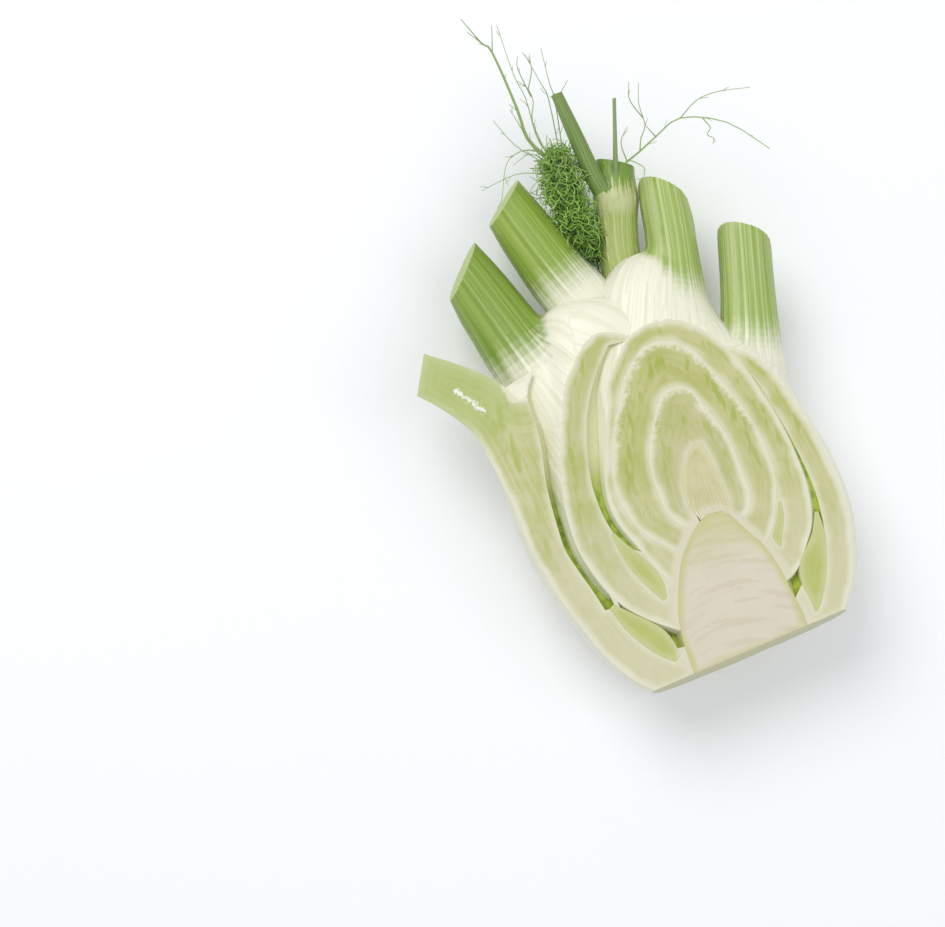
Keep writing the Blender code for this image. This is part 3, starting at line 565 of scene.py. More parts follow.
# The six leaves: each is a thick, ribbed white base wrapped round what grew inside it, drawn out at the
# top into a round green stalk. All were cut through lengthwise, and each stalk was cut short with a knife.
LEAVES = [
    {
        "node": "leaf_6_centre",
        "egg": [
            (40, -12, 11, 29, 37), (46, -17.5, 13.6, 27, 36.5), (53, -19.5, 13.3, 26, 36),
            (61, -20, 12, 25.5, 36), (69, -18.6, 10, 25.5, 36), (77, -15.5, 6.5, 26, 35.5),
            (83, -13, 4.5, 26, 35), (88, -10.5, 2, 27, 34),
        ],
        "stalk": [
            (-5, 80, 31, 7, 6, 0), (-7.5, 100, 28, 6.6, 6.5, 0), (-10.4, 129, 25.5, 7, 6.8, -6),
            (-8.6, 143.5, 25.5, 6.8, 6.8, -7), (-7.3, 151.5, 25.6, 7.8, 7.6, -7),
            (-6.1, 157.8, 25.8, 6.8, 6.6, -12), (-4.8, 163.3, 26, 6.5, 6.2, -24),
        ],
        "lean": 0, "green_from": 104, "joint": 49.0,
        "shoots": [
            [
                (-9.6, 150.5, 28, 3.5, 3.4, 20), (-13, 160, 31.5, 3.0, 3.0, 20),
                (-16.2, 175, 34, 2.5, 2.4, 12), (-18.9, 188.4, 35, 1.9, 1.8, 8),
            ],
            [
                (-6.6, 154.5, 29, 1.3, 1.3, 0), (-4.9, 164, 33.4, 0.85, 0.85, 0),
                (-2.8, 174, 34.2, 0.65, 0.65, 0), (-0.9, 183, 34.4, 0.6, 0.6, 0),
            ],
        ],
        "flesh": ((193, 190, 141), (179, 181, 114), (166, 175, 82)),
        "tones": ((184, 192, 128), (158, 176, 86), (132, 157, 62)),
    },
    {
        "node": "leaf_5_left",
        "egg": [
            (30, -13, 14, 25, 36), (36, -19, 18, 22, 35.5), (42, -26, 20.7, 20.5, 35),
            (49, -29.8, 22.3, 20, 35), (57, -32, 22.3, 19.5, 35), (66, -31.4, 20.5, 19.5, 35),
            (75, -30, 18.6, 19.5, 34), (83, -27.4, 15.6, 19, 33), (91, -24.9, 12.1, 18.5, 32),
            (97, -20.3, 8.3, 18.5, 31.5), (101, -17.5, 5, 19.5, 31), (107, -16.5, -1, 21, 29.5),
        ],
        "stalk": [
            (-11, 89, 28, 11.4, 9, 4), (-19.8, 109.5, 27.5, 11.4, 8.4, 16),
            (-30.4, 129.5, 27, 10.8, 8.8, 24), (-37.2, 144.5, 26.5, 9.8, 8.5, 25),
            (-43.4, 158.8, 26, 9.1, 8.1, 46),
        ],
        "lean": -10, "green_from": 128,
        "flesh": ((190, 190, 129), (176, 178, 100), (154, 168, 60)),
        "tones": ((156, 177, 80), (129, 158, 52), (104, 136, 38)),
    },
    {
        "node": "leaf_4_right",
        "egg": [
            (14, -10, 12, 26, 35), (20, -18.5, 22, 21, 35), (27, -22.5, 26.5, 18, 35),
            (33, -26, 30, 16.5, 34.5), (40, -30, 31.6, 15.5, 34), (47, -33.4, 31.7, 14.5, 34),
            (54, -35, 30.8, 14, 34), (62, -34.4, 29.3, 14, 34), (72, -33, 27.6, 14, 32.5),
            (82, -31.8, 25.8, 14, 31), (90, -31, 22.8, 13.5, 30.5), (96.5, -29, 21, 14.5, 30),
            (103.5, -26.5, 17.5, 15, 29.3), (109.5, -24.5, 15, 16.4, 29), (117, -22, 13.4, 17.5, 29),
            (123, -19.5, 12.4, 19, 29), (129, -14.5, 9.5, 21.5, 29), (132, -9.5, 5.5, 24.5, 29),
        ],
        "stalk": [
            (-0.6, 93, 28, 18, 12, 0), (2.4, 109.5, 28, 12.4, 10.4, 0), (5.8, 124, 28, 9, 8.8, -3),
            (7.4, 138, 28, 8.3, 8.3, -4), (8, 149.2, 28, 8.9, 8.1, -33),
        ],
        "lean": 25, "green_from": 116,
        "flesh": ((195, 193, 138), (179, 182, 108), (160, 174, 66)),
        "tones": ((188, 199, 134), (150, 177, 80), (114, 148, 50)),
    },
    {
        "node": "leaf_3_left",
        "egg": [
            (8, -21, 8, 24, 34), (14, -30.5, 14, 18, 33), (20.5, -37.3, 17, 14, 33),
            (26, -42, 19, 11.5, 32), (34, -46.5, 20, 9.5, 31), (43, -49.3, 21, 8.5, 31),
            (53, -50, 20, 8, 31), (62, -50.5, 18, 8, 30), (71, -50.5, 16, 8, 29),
            (79, -50.5, 14, 8.5, 28), (86, -50, 11, 9.5, 27.7), (94, -48.5, 8, 11, 28),
            (101, -47, 5, 13.9, 28.5), (108, -45.5, 0, 15.9, 29), (114, -43, -6, 19, 30),
            (118.5, -40.5, -12, 22, 30.5), (121.5, -35, -20, 26, 31),
        ],
        "stalk": [
            (-34, 72, 28, 15, 15, 6), (-40.4, 90.5, 28, 14, 12.4, 14), (-48.2, 108, 27.5, 12.4, 10, 22),
            (-54.8, 124, 27, 10.9, 8.8, 25), (-61.6, 139.8, 27, 10.4, 8.3, 54),
        ],
        "lean": -10, "green_from": 106,
        "hollows": [[
            (36, -25, 0, 39, 44), (40, -31.5, 2, 36.5, 44), (47, -35, 5, 35.5, 44),
            (56, -37, 5, 35.5, 44), (66, -37.2, 5, 35.5, 44), (79, -35, 4, 35.5, 44),
            (88, -32, 1, 35.5, 44), (97, -27.2, -2, 36, 44), (104, -22, -7, 37, 44),
        ]],
        "flesh": ((191, 190, 138), (179, 183, 112), (162, 175, 74)),
        "tones": ((148, 170, 78), (120, 150, 48), (98, 130, 36)),
    },
    {
        "node": "leaf_2_right",
        "egg": [
            (-9, -14, 24, 22, 34), (0, -24, 31, 14, 33), (8, -33, 36.3, 9, 32),
            (17, -38.5, 40.6, 5.5, 31), (27, -41.5, 42.8, 4.2, 30), (37, -45.5, 43.6, 4, 30),
            (47, -48, 42.6, 4, 30), (60, -48.5, 39.6, 4, 30), (73, -47.5, 35.2, 5, 30),
            (83, -43.5, 32, 8, 30), (92, -36, 28, 13, 30), (99, -24, 20, 19, 30), (103, -12, 8, 25, 30),
        ],
        "stalk": [
            (14.5, 69, 28, 17.5, 14, -6), (20.6, 83.5, 28.5, 13, 11.5, -8),
            (24.6, 96.5, 28.5, 10.2, 9.6, -10), (27.2, 110, 28, 9.1, 8.6, -10),
            (29.2, 122, 28, 8.8, 8.4, -12), (30.4, 129.3, 28, 9.1, 8.4, -27),
        ],
        "lean": 25, "green_from": 95,
        "hollows": [[
            (4.5, -24, 17, 37, 44), (8, -31, 17.5, 36, 44), (12, -41, 18.5, 35, 44),
            (19.4, -49, 25, 34, 44), (27.6, -53, 31.5, 34, 44), (37.5, -57, 32.6, 34, 44),
            (47, -59, 31.9, 34, 44), (60, -61, 29.2, 34, 44), (72, -61, 25.8, 34, 44),
            (84, -57, 21.2, 34, 44), (93, -48, 12, 35, 44),
        ]],
        "flesh": ((195, 193, 139), (178, 181, 102), (160, 174, 66)),
        "tones": ((186, 198, 132), (144, 173, 78), (108, 143, 46)),
    },
    {
        "node": "leaf_1_left",
        "egg": [
            (-12, -26, 8, 22, 34), (-4, -38, 18, 14.5, 34), (6, -46, 24, 9, 33), (18, -52.2, 28, 4.4, 32),
            (30, -57.7, 30, 1.7, 31), (43, -61.7, 30, 0.3, 31), (56, -64, 27, 0, 31),
            (68, -64.5, 22, 0, 31), (79, -62.4, 14, 1.3, 31), (89, -57, 4, 6.5, 31.5),
            (96, -50.5, -10, 14, 32), (101, -44, -24, 24, 33),
        ],
        "stalk": [
            (-53, 52, 39, 7, 9, 8), (-56.5, 68, 40, 8.4, 9.5, 14), (-59, 81, 41, 9.6, 9.5, 32),
            (-64, 92.5, 41.5, 9.4, 9, 52), (-72.5, 101, 41.5, 8, 8.4, 58),
            (-82.6, 108.3, 41.5, 6.9, 7.6, 68),
        ],
        "lean": 0, "green_from": 88,
        "groove": [
            (-40.4, 21.5, 42, 1.7, 4, 0), (-42.6, 29, 42, 2.2, 4.4, 0), (-44.7, 34.5, 42, 2.4, 4.6, 0),
            (-47.4, 42.5, 42, 2.6, 5, 0), (-48, 49, 42, 2.8, 5.5, 0), (-46.9, 64, 42, 4.4, 6.5, 0),
            (-44.6, 80, 42, 5.4, 6.5, 0), (-42.3, 94, 42, 8.5, 7, 0), (-38.2, 101.4, 42, 9, 7, 0),
            (-36, 108, 42, 9, 7, 0),
        ],
        "ear": [
            (-52.8, 86, 35, 3, 3, 10), (-52.8, 92.5, 38.5, 4, 2, 14), (-52.6, 96.5, 39.8, 4.8, 1.3, 18),
            (-52.3, 99.8, 40.6, 5.4, 0.9, 19),
        ],
        "flesh": ((200, 198, 150), (178, 181, 108), (164, 177, 78)),
        "tones": ((174, 190, 108), (146, 170, 68), (116, 146, 46)),
    },
]
END_STUB = 6.0


def stretched(rows, length):
    """The stalk's rows run on past its last one, so that a knife can cut it off there."""
    last, previous = np.array(rows[-1], float), np.array(rows[-2], float)
    step = last[:3] - previous[:3]
    step /= np.linalg.norm(step)
    return [*rows, (*(last[:3] + step * length), *last[3:])]


def end_plane(rows, lean):
    """Where a stalk was cut off, and which way the cut faces."""
    x, y, z, _, _, turn = rows[-1]
    turned, leaned = math.radians(turn), math.radians(lean)
    level = math.cos(leaned)
    return Vector((x, y, z)), Vector((-math.sin(turned) * level, math.cos(turned) * level, -math.sin(leaned)))


def midline(leaf):
    """Points along the middle of the leaf, from base to stalk, each with the half width there."""
    first = leaf["stalk"][0][1]
    base = [row[:4] for row in egg_sections(leaf["egg"], 3) if row[1] < first - 6]
    top = [row[:4] for row in smooth_rows(leaf["stalk"], 5)]
    line = np.array(base + top)
    for _ in range(6):
        line[1:-1] = (line[:-2] + 2 * line[1:-1] + line[2:]) / 4
    return line


def place_on_leaf(points, line):
    """For each point: its turn round the line, with 0 on top, how far up the line it is, and how far out."""
    starts, steps = line[:-1, :3], line[1:, :3] - line[:-1, :3]
    lengths = np.linalg.norm(steps, axis=1)
    run = np.concatenate([[0], np.cumsum(lengths)])
    best = np.full(len(points), 1e9)
    turn, along = np.zeros(len(points)), np.zeros(len(points))
    for index in range(len(steps)):
        off = points - starts[index]
        share = (off @ steps[index]) / lengths[index] ** 2
        low = -9.0 if index == 0 else 0.0
        high = 9.0 if index == len(steps) - 1 else 1.0
        share = np.clip(share, low, high)
        near = off - share[:, None] * steps[index]
        away = np.linalg.norm(near, axis=1) / (line[index, 3] + line[index + 1, 3]) * 2
        closer = away < best
        best[closer] = away[closer]
        side = np.array([steps[index][1], -steps[index][0], 0.0])
        side /= np.linalg.norm(side)
        turn[closer] = np.arctan2(near[closer] @ side, near[closer][:, 2])
        along[closer] = run[index] + share[closer] * lengths[index]
    return turn, along, best


def ribs(turn, draw):
    """Lengthwise ribs of uneven width, in mm, as a sum of waves round the leaf."""
    height = np.zeros(len(turn))
    for count in (19, 27, 34, 43):
        height += 0.05 * np.cos(count * turn + draw.uniform(0, 2 * math.pi))
    return height


def skin_lines():
    """Shared by every leaf's skin: lines that run up the leaf, broad and fine."""
    group = bpy.data.node_groups.new("skin lines", "ShaderNodeTree")
    group.interface.new_socket("Grain", in_out="INPUT", socket_type="NodeSocketVector")
    for name in ("Broad", "Fine", "Height"):
        group.interface.new_socket(name, in_out="OUTPUT", socket_type="NodeSocketFloat")
    given, out = group.nodes.new("NodeGroupInput"), group.nodes.new("NodeGroupOutput")
    found = {}
    for name, stretch in (("Broad", (1.1, 1.1, 0.012)), ("Fine", (3.4, 3.4, 0.03))):
        found[name] = speckle(group, scaled(group, given.outputs["Grain"], stretch), 1.0, 2.0)
        group.links.new(found[name], out.inputs[name])
    height = plus(group, found["Broad"], times(group, found["Fine"], 0.5))
    group.links.new(height, out.inputs["Height"])
    return group


SKIN_LINES = skin_lines()
SHOOT_GROWTH = 300
NO_JOINT = 150.0
GREENING_FALL = 40
EAR_GROWTH = -40


def leaf_skin(name, tones, joint):
    """The leaf's outside: near-white with faint lines at the base, turning into a striped green stalk."""
    made, tree, shader = new_material(name)
    lines = tree.nodes.new("ShaderNodeGroup")
    lines.node_tree = SKIN_LINES
    tree.links.new(read_point(tree, "grain").outputs["Vector"], lines.inputs["Grain"])
    broad, fine = lines.outputs["Broad"], lines.outputs["Fine"]
    growth = read_point(tree, "growth").outputs["Fac"]
    ragged = plus(tree, growth, sway(tree, broad, 14.0))
    faint = times(tree, rise(tree, fine, 0.4, 0.75), 0.7)
    base = blend_colour(tree, faint, shade(237, 235, 214), shade(217, 215, 180))
    stalk_tone = blend_colour(tree, rise(tree, broad, 0.34, 0.66), shade(*tones[0]), shade(*tones[1]))
    fine_line = times(tree, rise(tree, fine, 0.48, 0.72), 0.5)
    stalk_tone = blend_colour(tree, fine_line, stalk_tone, shade(*tones[2]))
    colour = blend_colour(tree, rise(tree, ragged, -7.0, 9.0), base, stalk_tone)
    colour = blend_colour(tree, rise(tree, ragged, joint, joint + 5.0), colour, shade(118, 148, 56))
    knuckle = times(tree, rise(tree, apart(tree, ragged, joint - 1.0), 4.5, 1.5), 0.75)
    colour = blend_colour(tree, knuckle, colour, shade(196, 198, 150))
    branch_tone = blend_colour(tree, rise(tree, fine, 0.35, 0.65), shade(88, 116, 44), shade(140, 164, 92))
    shoot_tone = blend_colour(tree, fine, shade(104, 132, 62), shade(150, 170, 116))
    side_tone = blend_colour(tree, rise(tree, growth, 480.0, 500.0), branch_tone, shoot_tone)
    colour = blend_colour(tree, rise(tree, growth, 180.0, 200.0), colour, side_tone)
    finish_material(tree, shader, colour, lines.outputs["Height"], 0.38, 0.3, 0.0004)
    return made


STALK_PALE, STALK_DEEP = (184, 195, 126), (164, 181, 98)
stalk_cut, _, _ = cut_flesh("stalk cut", STALK_PALE, STALK_DEEP, STALK_DEEP, (172, 190, 104), 0.5, STALK_PALE)


def inner_wall():
    """The smooth inner wall of a leaf: creamy higher up, and fresh green low down where the buds sit."""
    made, tree, shader = new_material("leaf inside")
    place, _, up, _ = place_in_mm(tree)
    noise = speckle(tree, place, 0.3, 3.0)
    height = plus(tree, up, sway(tree, noise, 14.0))
    green = blend_colour(tree, rise(tree, noise, 0.4, 0.62), shade(176, 190, 78), shade(132, 160, 42))
    colour = blend_colour(tree, rise(tree, height, 8.0, -8.0), shade(214, 214, 168), green)
    finish_material(tree, shader, colour, noise, 0.3, 0.1, 0.0003)
    return made


leaf_inside = inner_wall()


def green_stalk(tree, shader):
    """The cut face grows greener up into the stalk."""
    growth = read_point(tree, "growth").outputs["Fac"]
    tint(tree, shader, times(tree, rise(tree, growth, -16.0, 12.0), 0.7), (168, 184, 104))


STREAK_FROM, STREAK_TO = (-59.4, 36.9), (-51.7, 27.9)


def torn_scratch(tree, shader):
    """A white, torn streak in the left leaf's cut face, where the knife caught."""
    place = place_in_mm(tree)[0]
    start, end = np.array(STREAK_FROM), np.array(STREAK_TO)
    length = np.linalg.norm(end - start)
    way = (end - start) / length
    height = CUT_HEIGHT - RESTING_SPOT[2]
    off = put(tree, "VectorMath", {"operation": "SUBTRACT"}, _0=place, _1=(*start, height)).outputs[0]
    parts = []
    for direction in ((*way, 0), (-way[1], way[0], 0)):
        dot = put(tree, "VectorMath", {"operation": "DOT_PRODUCT"}, _0=off, _1=direction)
        parts.append(dot.outputs["Value"])
    past_end = reckon(tree, "SUBTRACT", apart(tree, parts[0], length / 2), length / 2)
    reach = plus(tree, reckon(tree, "MAXIMUM", past_end, 0.0), reckon(tree, "ABSOLUTE", parts[1]))
    frayed = plus(tree, reach, sway(tree, speckle(tree, place, 0.8, 4.0, 0.7), 5.0))
    tint(tree, shader, rise(tree, frayed, 0.9, 0.3), (234, 235, 222))


VOXEL_SIZE, SMOOTHING_ROUNDS = ((0.85, 36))
FLESH_EDGE = (225, 222, 198)
CRINKLED_LEAVES = ("leaf_5_left", "leaf_6_centre")
for leaf in LEAVES:
    draw = random.Random(leaf["node"])
    solid = loft("grown_" + leaf["node"], egg_sections(leaf["egg"], 6), 96, OVAL)
    stalk = loft("stalk", smooth_rows(stretched(leaf["stalk"], END_STUB), 6), 48, ROUNDED)
    even = ("REMESH", {"mode": "VOXEL", "voxel_size": VOXEL_SIZE})
    worked(solid, joined_to(stalk), even, ("SMOOTH", {"factor": 0.5, "iterations": SMOOTHING_ROUNDS}))
    line = midline(leaf)
    points = values_of(solid.data.vertices, "co", 3)
    turn, along, _ = place_on_leaf(points, line)
    normals = np.array([vert.normal for vert in solid.data.vertices])
    points = points + normals * ribs(turn, draw)[:, None]
    solid.data.vertices.foreach_set("co", points.astype(np.float32).ravel())
    solid.data.update()
    ends = [end_plane(leaf["stalk"], leaf["lean"])]
    worked(solid, cut_by(slab("stalk end", *ends[0])))
    shoots = leaf.get("shoots", [])
    for rows in shoots:
        worked(solid, joined_to(loft("shoot", smooth_rows(rows, 6), 24, ROUNDED)))
        ends.append(end_plane(rows, 0))
    if "ear" in leaf:
        worked(solid, joined_to(loft("ear", smooth_rows(leaf["ear"], 6), 40, ROUNDED)))
    skin = skin_of(solid)
    room = grown(solid, LEAF_GAP)
    cutters = [cut_by(inside)]
    cutters += [cut_by(loft("hollow", egg_sections(rows, 6), 96, OVAL)) for rows in leaf.get("hollows", [])]
    if "groove" in leaf:
        cutters.append(cut_by(loft("groove", smooth_rows(leaf["groove"], 6), 48, ROUNDED)))
    worked(solid, *cutters, cut_by(knife), cut_by(root_trim), cut_by(table_top))
    middle = leaf["egg"][len(leaf["egg"]) // 2]
    mark_cut(solid, skin, ((middle[1] + middle[2]) / 2, middle[0]))
    sort_faces(solid, skin, ends)
    points = values_of(solid.data.vertices, "co", 3)
    turn, along, out = place_on_leaf(points, line)
    run = np.concatenate([[0], np.cumsum(np.linalg.norm(np.diff(line[:, :3], axis=0), axis=1))])
    green = along - np.interp(leaf["green_from"], line[:, 1], run) - GREENING_FALL * np.maximum(0, out - 1.0)
    for number, rows in enumerate(shoots):
        shoot_turn, shoot_along, shoot_out = place_on_leaf(points, smooth_rows(rows, 5)[:, :4])
        on_shoot = (shoot_out < 1.25) & (points[:, 1] > rows[0][1] + 4)
        own_growth = SHOOT_GROWTH * (number + 1)
        turn[on_shoot] = shoot_turn[on_shoot]
        along[on_shoot] = shoot_along[on_shoot] + own_growth
        green[on_shoot] = own_growth
    if "ear" in leaf:
        _, _, ear_out = place_on_leaf(points, smooth_rows(leaf["ear"], 5)[:, :4])
        green[(ear_out < 1.1) & (points[:, 1] > leaf["ear"][1][1])] = EAR_GROWTH
    store(solid.data, "grain", np.stack([np.cos(turn) * 10, np.sin(turn) * 10, along], 1))
    store(solid.data, "growth", green)
    crinkled = 1.0 if leaf["node"] in CRINKLED_LEAVES else 0.0
    flesh = cut_flesh(leaf["node"] + " cut", *leaf["flesh"], FLESH_EDGE, crinkled=crinkled)
    leaf_cut, cut_tree, cut_shader = flesh
    green_stalk(cut_tree, cut_shader)
    if "groove" in leaf:
        torn_scratch(cut_tree, cut_shader)
    outside = leaf_skin(leaf["node"] + " skin", leaf["tones"], leaf.get("joint", NO_JOINT))
    to_place(solid, leaf["node"], [outside, leaf_cut, stalk_cut, root_cut, leaf_inside])
    inside = worked(inside, joined_to(room))

# The fronds: soft, thread-like green leaves that sprout beside the middle stalk. A dense curly tuft hides
# its own stem, and two loose sprays reach out of it on thin, forked stems.
SPRAY_LEFT = [
    [
        (-25.6, 168, 31), (-31.4, 176.5, 34), (-32.6, 186.7, 35), (-36.3, 206.3, 36), (-39, 210, 36.5),
        (-43.9, 219.2, 37),
    ],
    [(-39, 210, 36.5), (-42.9, 214.3, 38)],
    [(-36.3, 206.3, 36), (-35.2, 211.3, 35), (-34.4, 215.6, 34.5)],
    [(-25.6, 169, 33), (-28.5, 176.4, 36), (-29.2, 188.8, 37.5), (-31.3, 197.2, 38), (-33, 214.1, 38.5)],
    [(-26.5, 172, 30), (-28.4, 182.2, 31), (-26.7, 188.2, 32), (-27.6, 193.2, 32), (-30.4, 196.2, 32)],
    [(-27, 190, 32), (-29.2, 200, 32.5), (-28.3, 203.9, 33)],
    [(-27.5, 192.5, 32), (-24.7, 199.5, 33), (-26.7, 204.7, 34)],
    [(-22, 168, 28), (-21.4, 188.2, 29), (-22.7, 193.8, 30), (-25.9, 204.2, 32)],
    [(-21, 168, 28), (-19.5, 187.8, 29), (-20, 193.2, 30), (-20.2, 205.2, 31)],
    [(-19.7, 190, 29.4), (-17.5, 189.5, 29.5), (-14.1, 193, 30.5)],
    [(-26, 165, 32), (-29.6, 169, 34), (-35.9, 175.1, 35), (-41.1, 184.2, 37)],
    [(-31.6, 177.5, 34.1), (-33, 181, 35.5), (-35, 186.4, 37.5)],
    [(-26, 166.5, 32), (-31.5, 171.2, 35), (-38, 168.6, 36)],
    [(-29.6, 172.4, 33), (-34.7, 172.5, 36), (-40.2, 169.1, 38), (-44, 158.8, 38), (-46.2, 155.8, 37.5)],
    [(-24, 160, 32), (-30, 163.6, 37), (-38.2, 165.1, 38.5), (-49.9, 162.5, 38)],
]
SPRAY_RIGHT = [
    [
        (-2, 161.9, 32.7), (3.3, 164.3, 34), (9.3, 167.6, 35), (18.4, 171.6, 36), (32.4, 166.7, 37.5),
        (44.3, 155.1, 37),
    ],
    [(18.4, 171.6, 36), (24.5, 175.7, 38), (31.9, 176.8, 39), (42.4, 175.8, 39)],
    [(3.3, 164.3, 34), (4.5, 168.2, 36), (6.6, 171.8, 37), (6.1, 178.9, 38), (7.6, 185.6, 38.5)],
    [(6.4, 174.2, 37.4), (3.5, 180.7, 38), (4.6, 186.6, 38)],
    [(9.3, 167.6, 35), (6.6, 171.8, 37)],
    [(-1.4, 162.1, 32.9), (-2.2, 168.2, 35.5), (0.8, 172.5, 37)],
    [
        (-1.2, 162.2, 33), (0.4, 161, 36), (2.6, 158.6, 38), (3, 156.8, 39), (1.7, 154.7, 39),
        (-0.6, 155, 38),
    ],
    [(25.3, 169.9, 36.7), (27.3, 166.5, 35), (25.9, 164.6, 34), (27.8, 163.2, 33), (27.3, 161.5, 32)],
]
TUFT_CORE = [
    (-18.8, 132, 27, 1.6, 3, 4), (-20.3, 139, 28, 3.8, 5, 4), (-22, 147, 29, 5.6, 6, 4),
    (-23, 156, 30, 6.6, 6.4, 4), (-23.2, 163, 30.5, 6.4, 6, 4), (-23, 170, 31, 4, 4.4, 6),
]
STEM_SHARE = 0.7
TUFT_THREADS = 1700
THREAD_SIDES = 3
ASIDE = (0.31, 0.12, 0.94)


def thread_skin(threads):
    """One mesh of many thin tubes, each a list of points with a radius at its root and at its tip, and a
    tone, kept as depth, that runs from painted shade at 0 to a painted highlight at 1.
    """
    points, faces, painted_light_values = [], [], []
    for path, root_radius, tip_radius, depth in threads:
        path = smooth_rows(path, 2)
        count = len(path)
        ahead = np.gradient(path, axis=0)
        ahead /= np.linalg.norm(ahead, axis=1)[:, None]
        side = np.cross(ahead, ASIDE)
        side /= np.linalg.norm(side, axis=1)[:, None]
        over = np.cross(side, ahead)
        radii = np.linspace(root_radius, tip_radius, count)
        start = len(points)
        for corner in range(THREAD_SIDES):
            angle = 2 * math.pi * corner / THREAD_SIDES
            ring = path + (side * math.cos(angle) + over * math.sin(angle)) * radii[:, None]
            points.extend(ring.tolist())
        painted_light_values.extend([depth] * (THREAD_SIDES * count))
        for step in range(count - 1):
            for corner in range(THREAD_SIDES):
                following = (corner + 1) % THREAD_SIDES
                a, b = start + corner * count + step, start + following * count + step
                faces.append((a, a + 1, b + 1, b))
        faces.append(tuple(start + corner * count for corner in range(THREAD_SIDES)))
        faces.append(tuple(start + corner * count + count - 1 for corner in reversed(range(THREAD_SIDES))))
    mesh = bpy.data.meshes.new("threads")
    mesh.from_pydata(points, [], faces)
    store(mesh, "depth", np.array(painted_light_values))
    return mesh


def frond_green():
    made, tree, shader = new_material("frond green")
    depth = read_point(tree, "depth").outputs["Fac"]
    noise = speckle(tree, put(tree, "TexCoord").outputs["Object"], 160.0, 2.0)
    # Painted shade and highlight: threads with a low depth get a dark green painted shade, the highest a pale
    # painted highlight.
    colour = blend_colour(tree, rise(tree, depth, 0.0, 0.6), shade(42, 72, 22), shade(150, 192, 74))
    colour = blend_colour(tree, rise(tree, depth, 0.6, 1.0), colour, shade(162, 182, 118))
    colour = blend_colour(tree, times(tree, noise, 0.4), colour, shade(96, 130, 50))
    finish_material(tree, shader, colour, noise, 0.5, 0.2, 0.0002)
    return made


def forked(path, draw, spacing=11.0, length=4.5):
    """Finer threads that leave a stem in turn on its two sides."""
    line = smooth_rows(path, 5)
    run = np.concatenate([[0], np.cumsum(np.linalg.norm(np.diff(line, axis=0), axis=1))])
    found, at, hand = [], spacing * 0.8, 1
    while at < run[-1] - 1:
        root = np.array([np.interp(at, run, line[:, axis]) for axis in range(3)])
        ahead_point = np.array([np.interp(min(at + 1, run[-1]), run, line[:, axis]) for axis in range(3)])
        ahead = (ahead_point - root) / max(np.linalg.norm(ahead_point - root), 1e-6)
        side = np.array([ahead[1], -ahead[0], 0.0]) * hand
        way = ahead * 0.9 + side * draw.uniform(0.3, 0.6) + np.array([0, 0, draw.uniform(-0.2, 0.2)])
        reach = length * draw.uniform(0.5, 1.1) * (1 - 0.5 * at / run[-1])
        middle = root + way * reach * 0.5 + np.array([draw.uniform(-0.3, 0.3) for _ in range(3)])
        found.append([tuple(root), tuple(middle), tuple(root + way * reach)])
        at += spacing * draw.uniform(0.7, 1.4)
        hand = -hand
    return found


def spray(paths, stem_radius, draw):
    """A spray's stem, thick at its root, the threads that branch off it, and their finer forks."""
    # The last number of each thread is its painted light: the finest forks get the palest painted highlight,
    # the stem a little less.
    threads = [(paths[0], stem_radius, 0.16, 0.85)]
    threads += [(path, 0.24, 0.12, 0.9) for path in paths[1:]]
    for path in paths:
        threads += [(fork, 0.14, 0.09, 1.0) for fork in forked(path, draw)]
    return threads


def tuft(draw):
    """Curly threads all round the tuft's stem, with painted shade on the deeper ones and painted light on the
    outer and higher ones.
    """
    sections = smooth_rows(TUFT_CORE, 9)
    threads = []
    for _ in range(TUFT_THREADS):
        x, y, z, half_width, half_depth, _ = sections[draw.randrange(2, len(sections))]
        angle = draw.uniform(0, 2 * math.pi)
        out = np.array([math.cos(angle), 0, math.sin(angle)])
        depth = draw.uniform(0.2, 1.0)
        root = np.array([x, y, z]) + out * np.array([half_width, 0, half_depth]) * depth
        length = draw.uniform(4.0, 9.0)
        path, way = [root], out * 0.5 + np.array([0, draw.uniform(0.1, 0.9), 0])
        swing = np.array([draw.uniform(-1, 1) for _ in range(3)])
        for _ in range(5):
            way = way + np.cross(way, swing) * 0.9 + np.array([draw.uniform(-0.3, 0.3) for _ in range(3)])
            way /= np.linalg.norm(way)
            path.append(path[-1] + way * length / 5)
        # Painted light: threads further out and higher up the tuft get a paler tone, and the inner ones a
        # darker painted shade.
        lit_share = (y - 138) / 24 + draw.uniform(-0.25, 0.25)
        threads.append((path, 0.2, 0.13, min(0.8, max(0.0, depth * 0.45 + 0.45 * min(1.0, lit_share)))))
    return threads


frond_finish = frond_green()
fronds = {
    "frond_tuft": tuft(random.Random(5)) + spray(SPRAY_LEFT, 0.8, random.Random(6)),
    "frond_spray_right": spray(SPRAY_RIGHT, 0.42, random.Random(7)),
}
slim_rows = [(x, y, z, wide * STEM_SHARE, deep * STEM_SHARE, turn) for x, y, z, wide, deep, turn in TUFT_CORE]
tuft_stem = loft("tuft stem", smooth_rows(slim_rows, 5), 24, ROUNDED)
for frond_node, threads in fronds.items():
    frond = on_bench("grown_" + frond_node, thread_skin(threads))
    if frond_node == "frond_tuft":
        with bpy.context.temp_override(active_object=frond, selected_editable_objects=[frond, tuft_stem]):
            bpy.ops.object.join()
    to_place(frond, frond_node, [frond_finish])

for spare in list(bench.objects):
    bpy.data.objects.remove(spare)
bpy.data.collections.remove(bench)

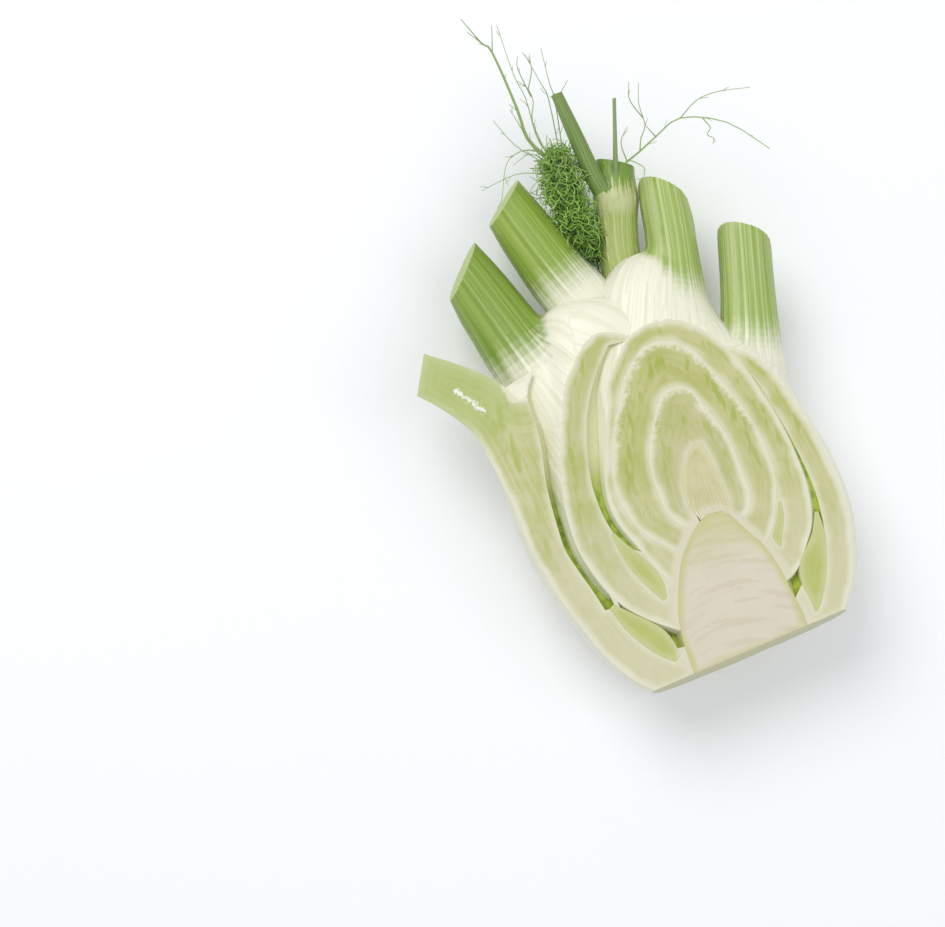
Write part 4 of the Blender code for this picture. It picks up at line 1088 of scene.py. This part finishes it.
# The table top that the bulb lies on, and the soft light of a bright studio above and behind it. The camera
# looks straight down, as the photographer did, from a little below the root end.
CAMERA_MIDDLE = Vector((-0.0593, 0.0127, 0.0412))
CAMERA_DISTANCE = 0.9
CAMERA_TILT = math.radians(4)
CAMERA_ROLL = math.radians(-13)
VIEW_WIDTH = 0.3024
SENSOR_WIDTH = 36
FLOOR_REACH = 4
LAMPS = [("window", (-0.35, 0.75, 1.2), 0.9, 9.0), ("fill", (0.6, -0.4, 1.3), 1.2, 4.0)]

floor_finish, floor_tree, floor_shader = new_material("table white")
floor_noise = speckle(floor_tree, put(floor_tree, "TexCoord").outputs["Object"], 3.0, 2.0)
floor_colour = blend_colour(floor_tree, floor_noise, (0.93, 0.935, 0.95, 1), (0.95, 0.95, 0.955, 1))
finish_material(floor_tree, floor_shader, floor_colour, floor_noise, 0.6, 0.02, 0.0001)
shape = bmesh.new()
bmesh.ops.create_grid(shape, x_segments=1, y_segments=1, size=FLOOR_REACH)
floor_mesh = bpy.data.meshes.new("floor")
shape.to_mesh(floor_mesh)
shape.free()
floor_mesh.materials.append(floor_finish)
floor = bpy.data.objects.new("floor", floor_mesh)
bpy.context.scene.collection.objects.link(floor)

world = bpy.data.worlds.new("studio")
world.use_nodes = True
world.node_tree.nodes["Background"].inputs["Color"].default_value = (0.93, 0.96, 1, 1)
world.node_tree.nodes["Background"].inputs["Strength"].default_value = 0.62
bpy.context.scene.world = world
for name, place, size, power in LAMPS:
    lamp = bpy.data.lights.new(name, "AREA")
    lamp.shape, lamp.size, lamp.energy = "DISK", size, power
    light = bpy.data.objects.new(name, lamp)
    light.location = place
    light.rotation_mode = "QUATERNION"
    light.rotation_quaternion = (Vector(place) - CAMERA_MIDDLE).to_track_quat("Z", "Y")
    bpy.context.scene.collection.objects.link(light)

camera_data = bpy.data.cameras.new("camera")
camera_data.sensor_width = SENSOR_WIDTH
camera_data.lens = SENSOR_WIDTH * CAMERA_DISTANCE / VIEW_WIDTH
camera_data.clip_start, camera_data.clip_end = 0.01, 20
camera = bpy.data.objects.new("camera", camera_data)
turned = Matrix.Rotation(CAMERA_ROLL, 4, "Z") @ Matrix.Rotation(CAMERA_TILT, 4, "X")
camera.matrix_world = Matrix.Translation(CAMERA_MIDDLE) @ turned @ Matrix.Translation((0, 0, CAMERA_DISTANCE))
bpy.context.scene.collection.objects.link(camera)
bpy.context.scene.camera = camera
bpy.context.scene.view_settings.view_transform = "Standard"
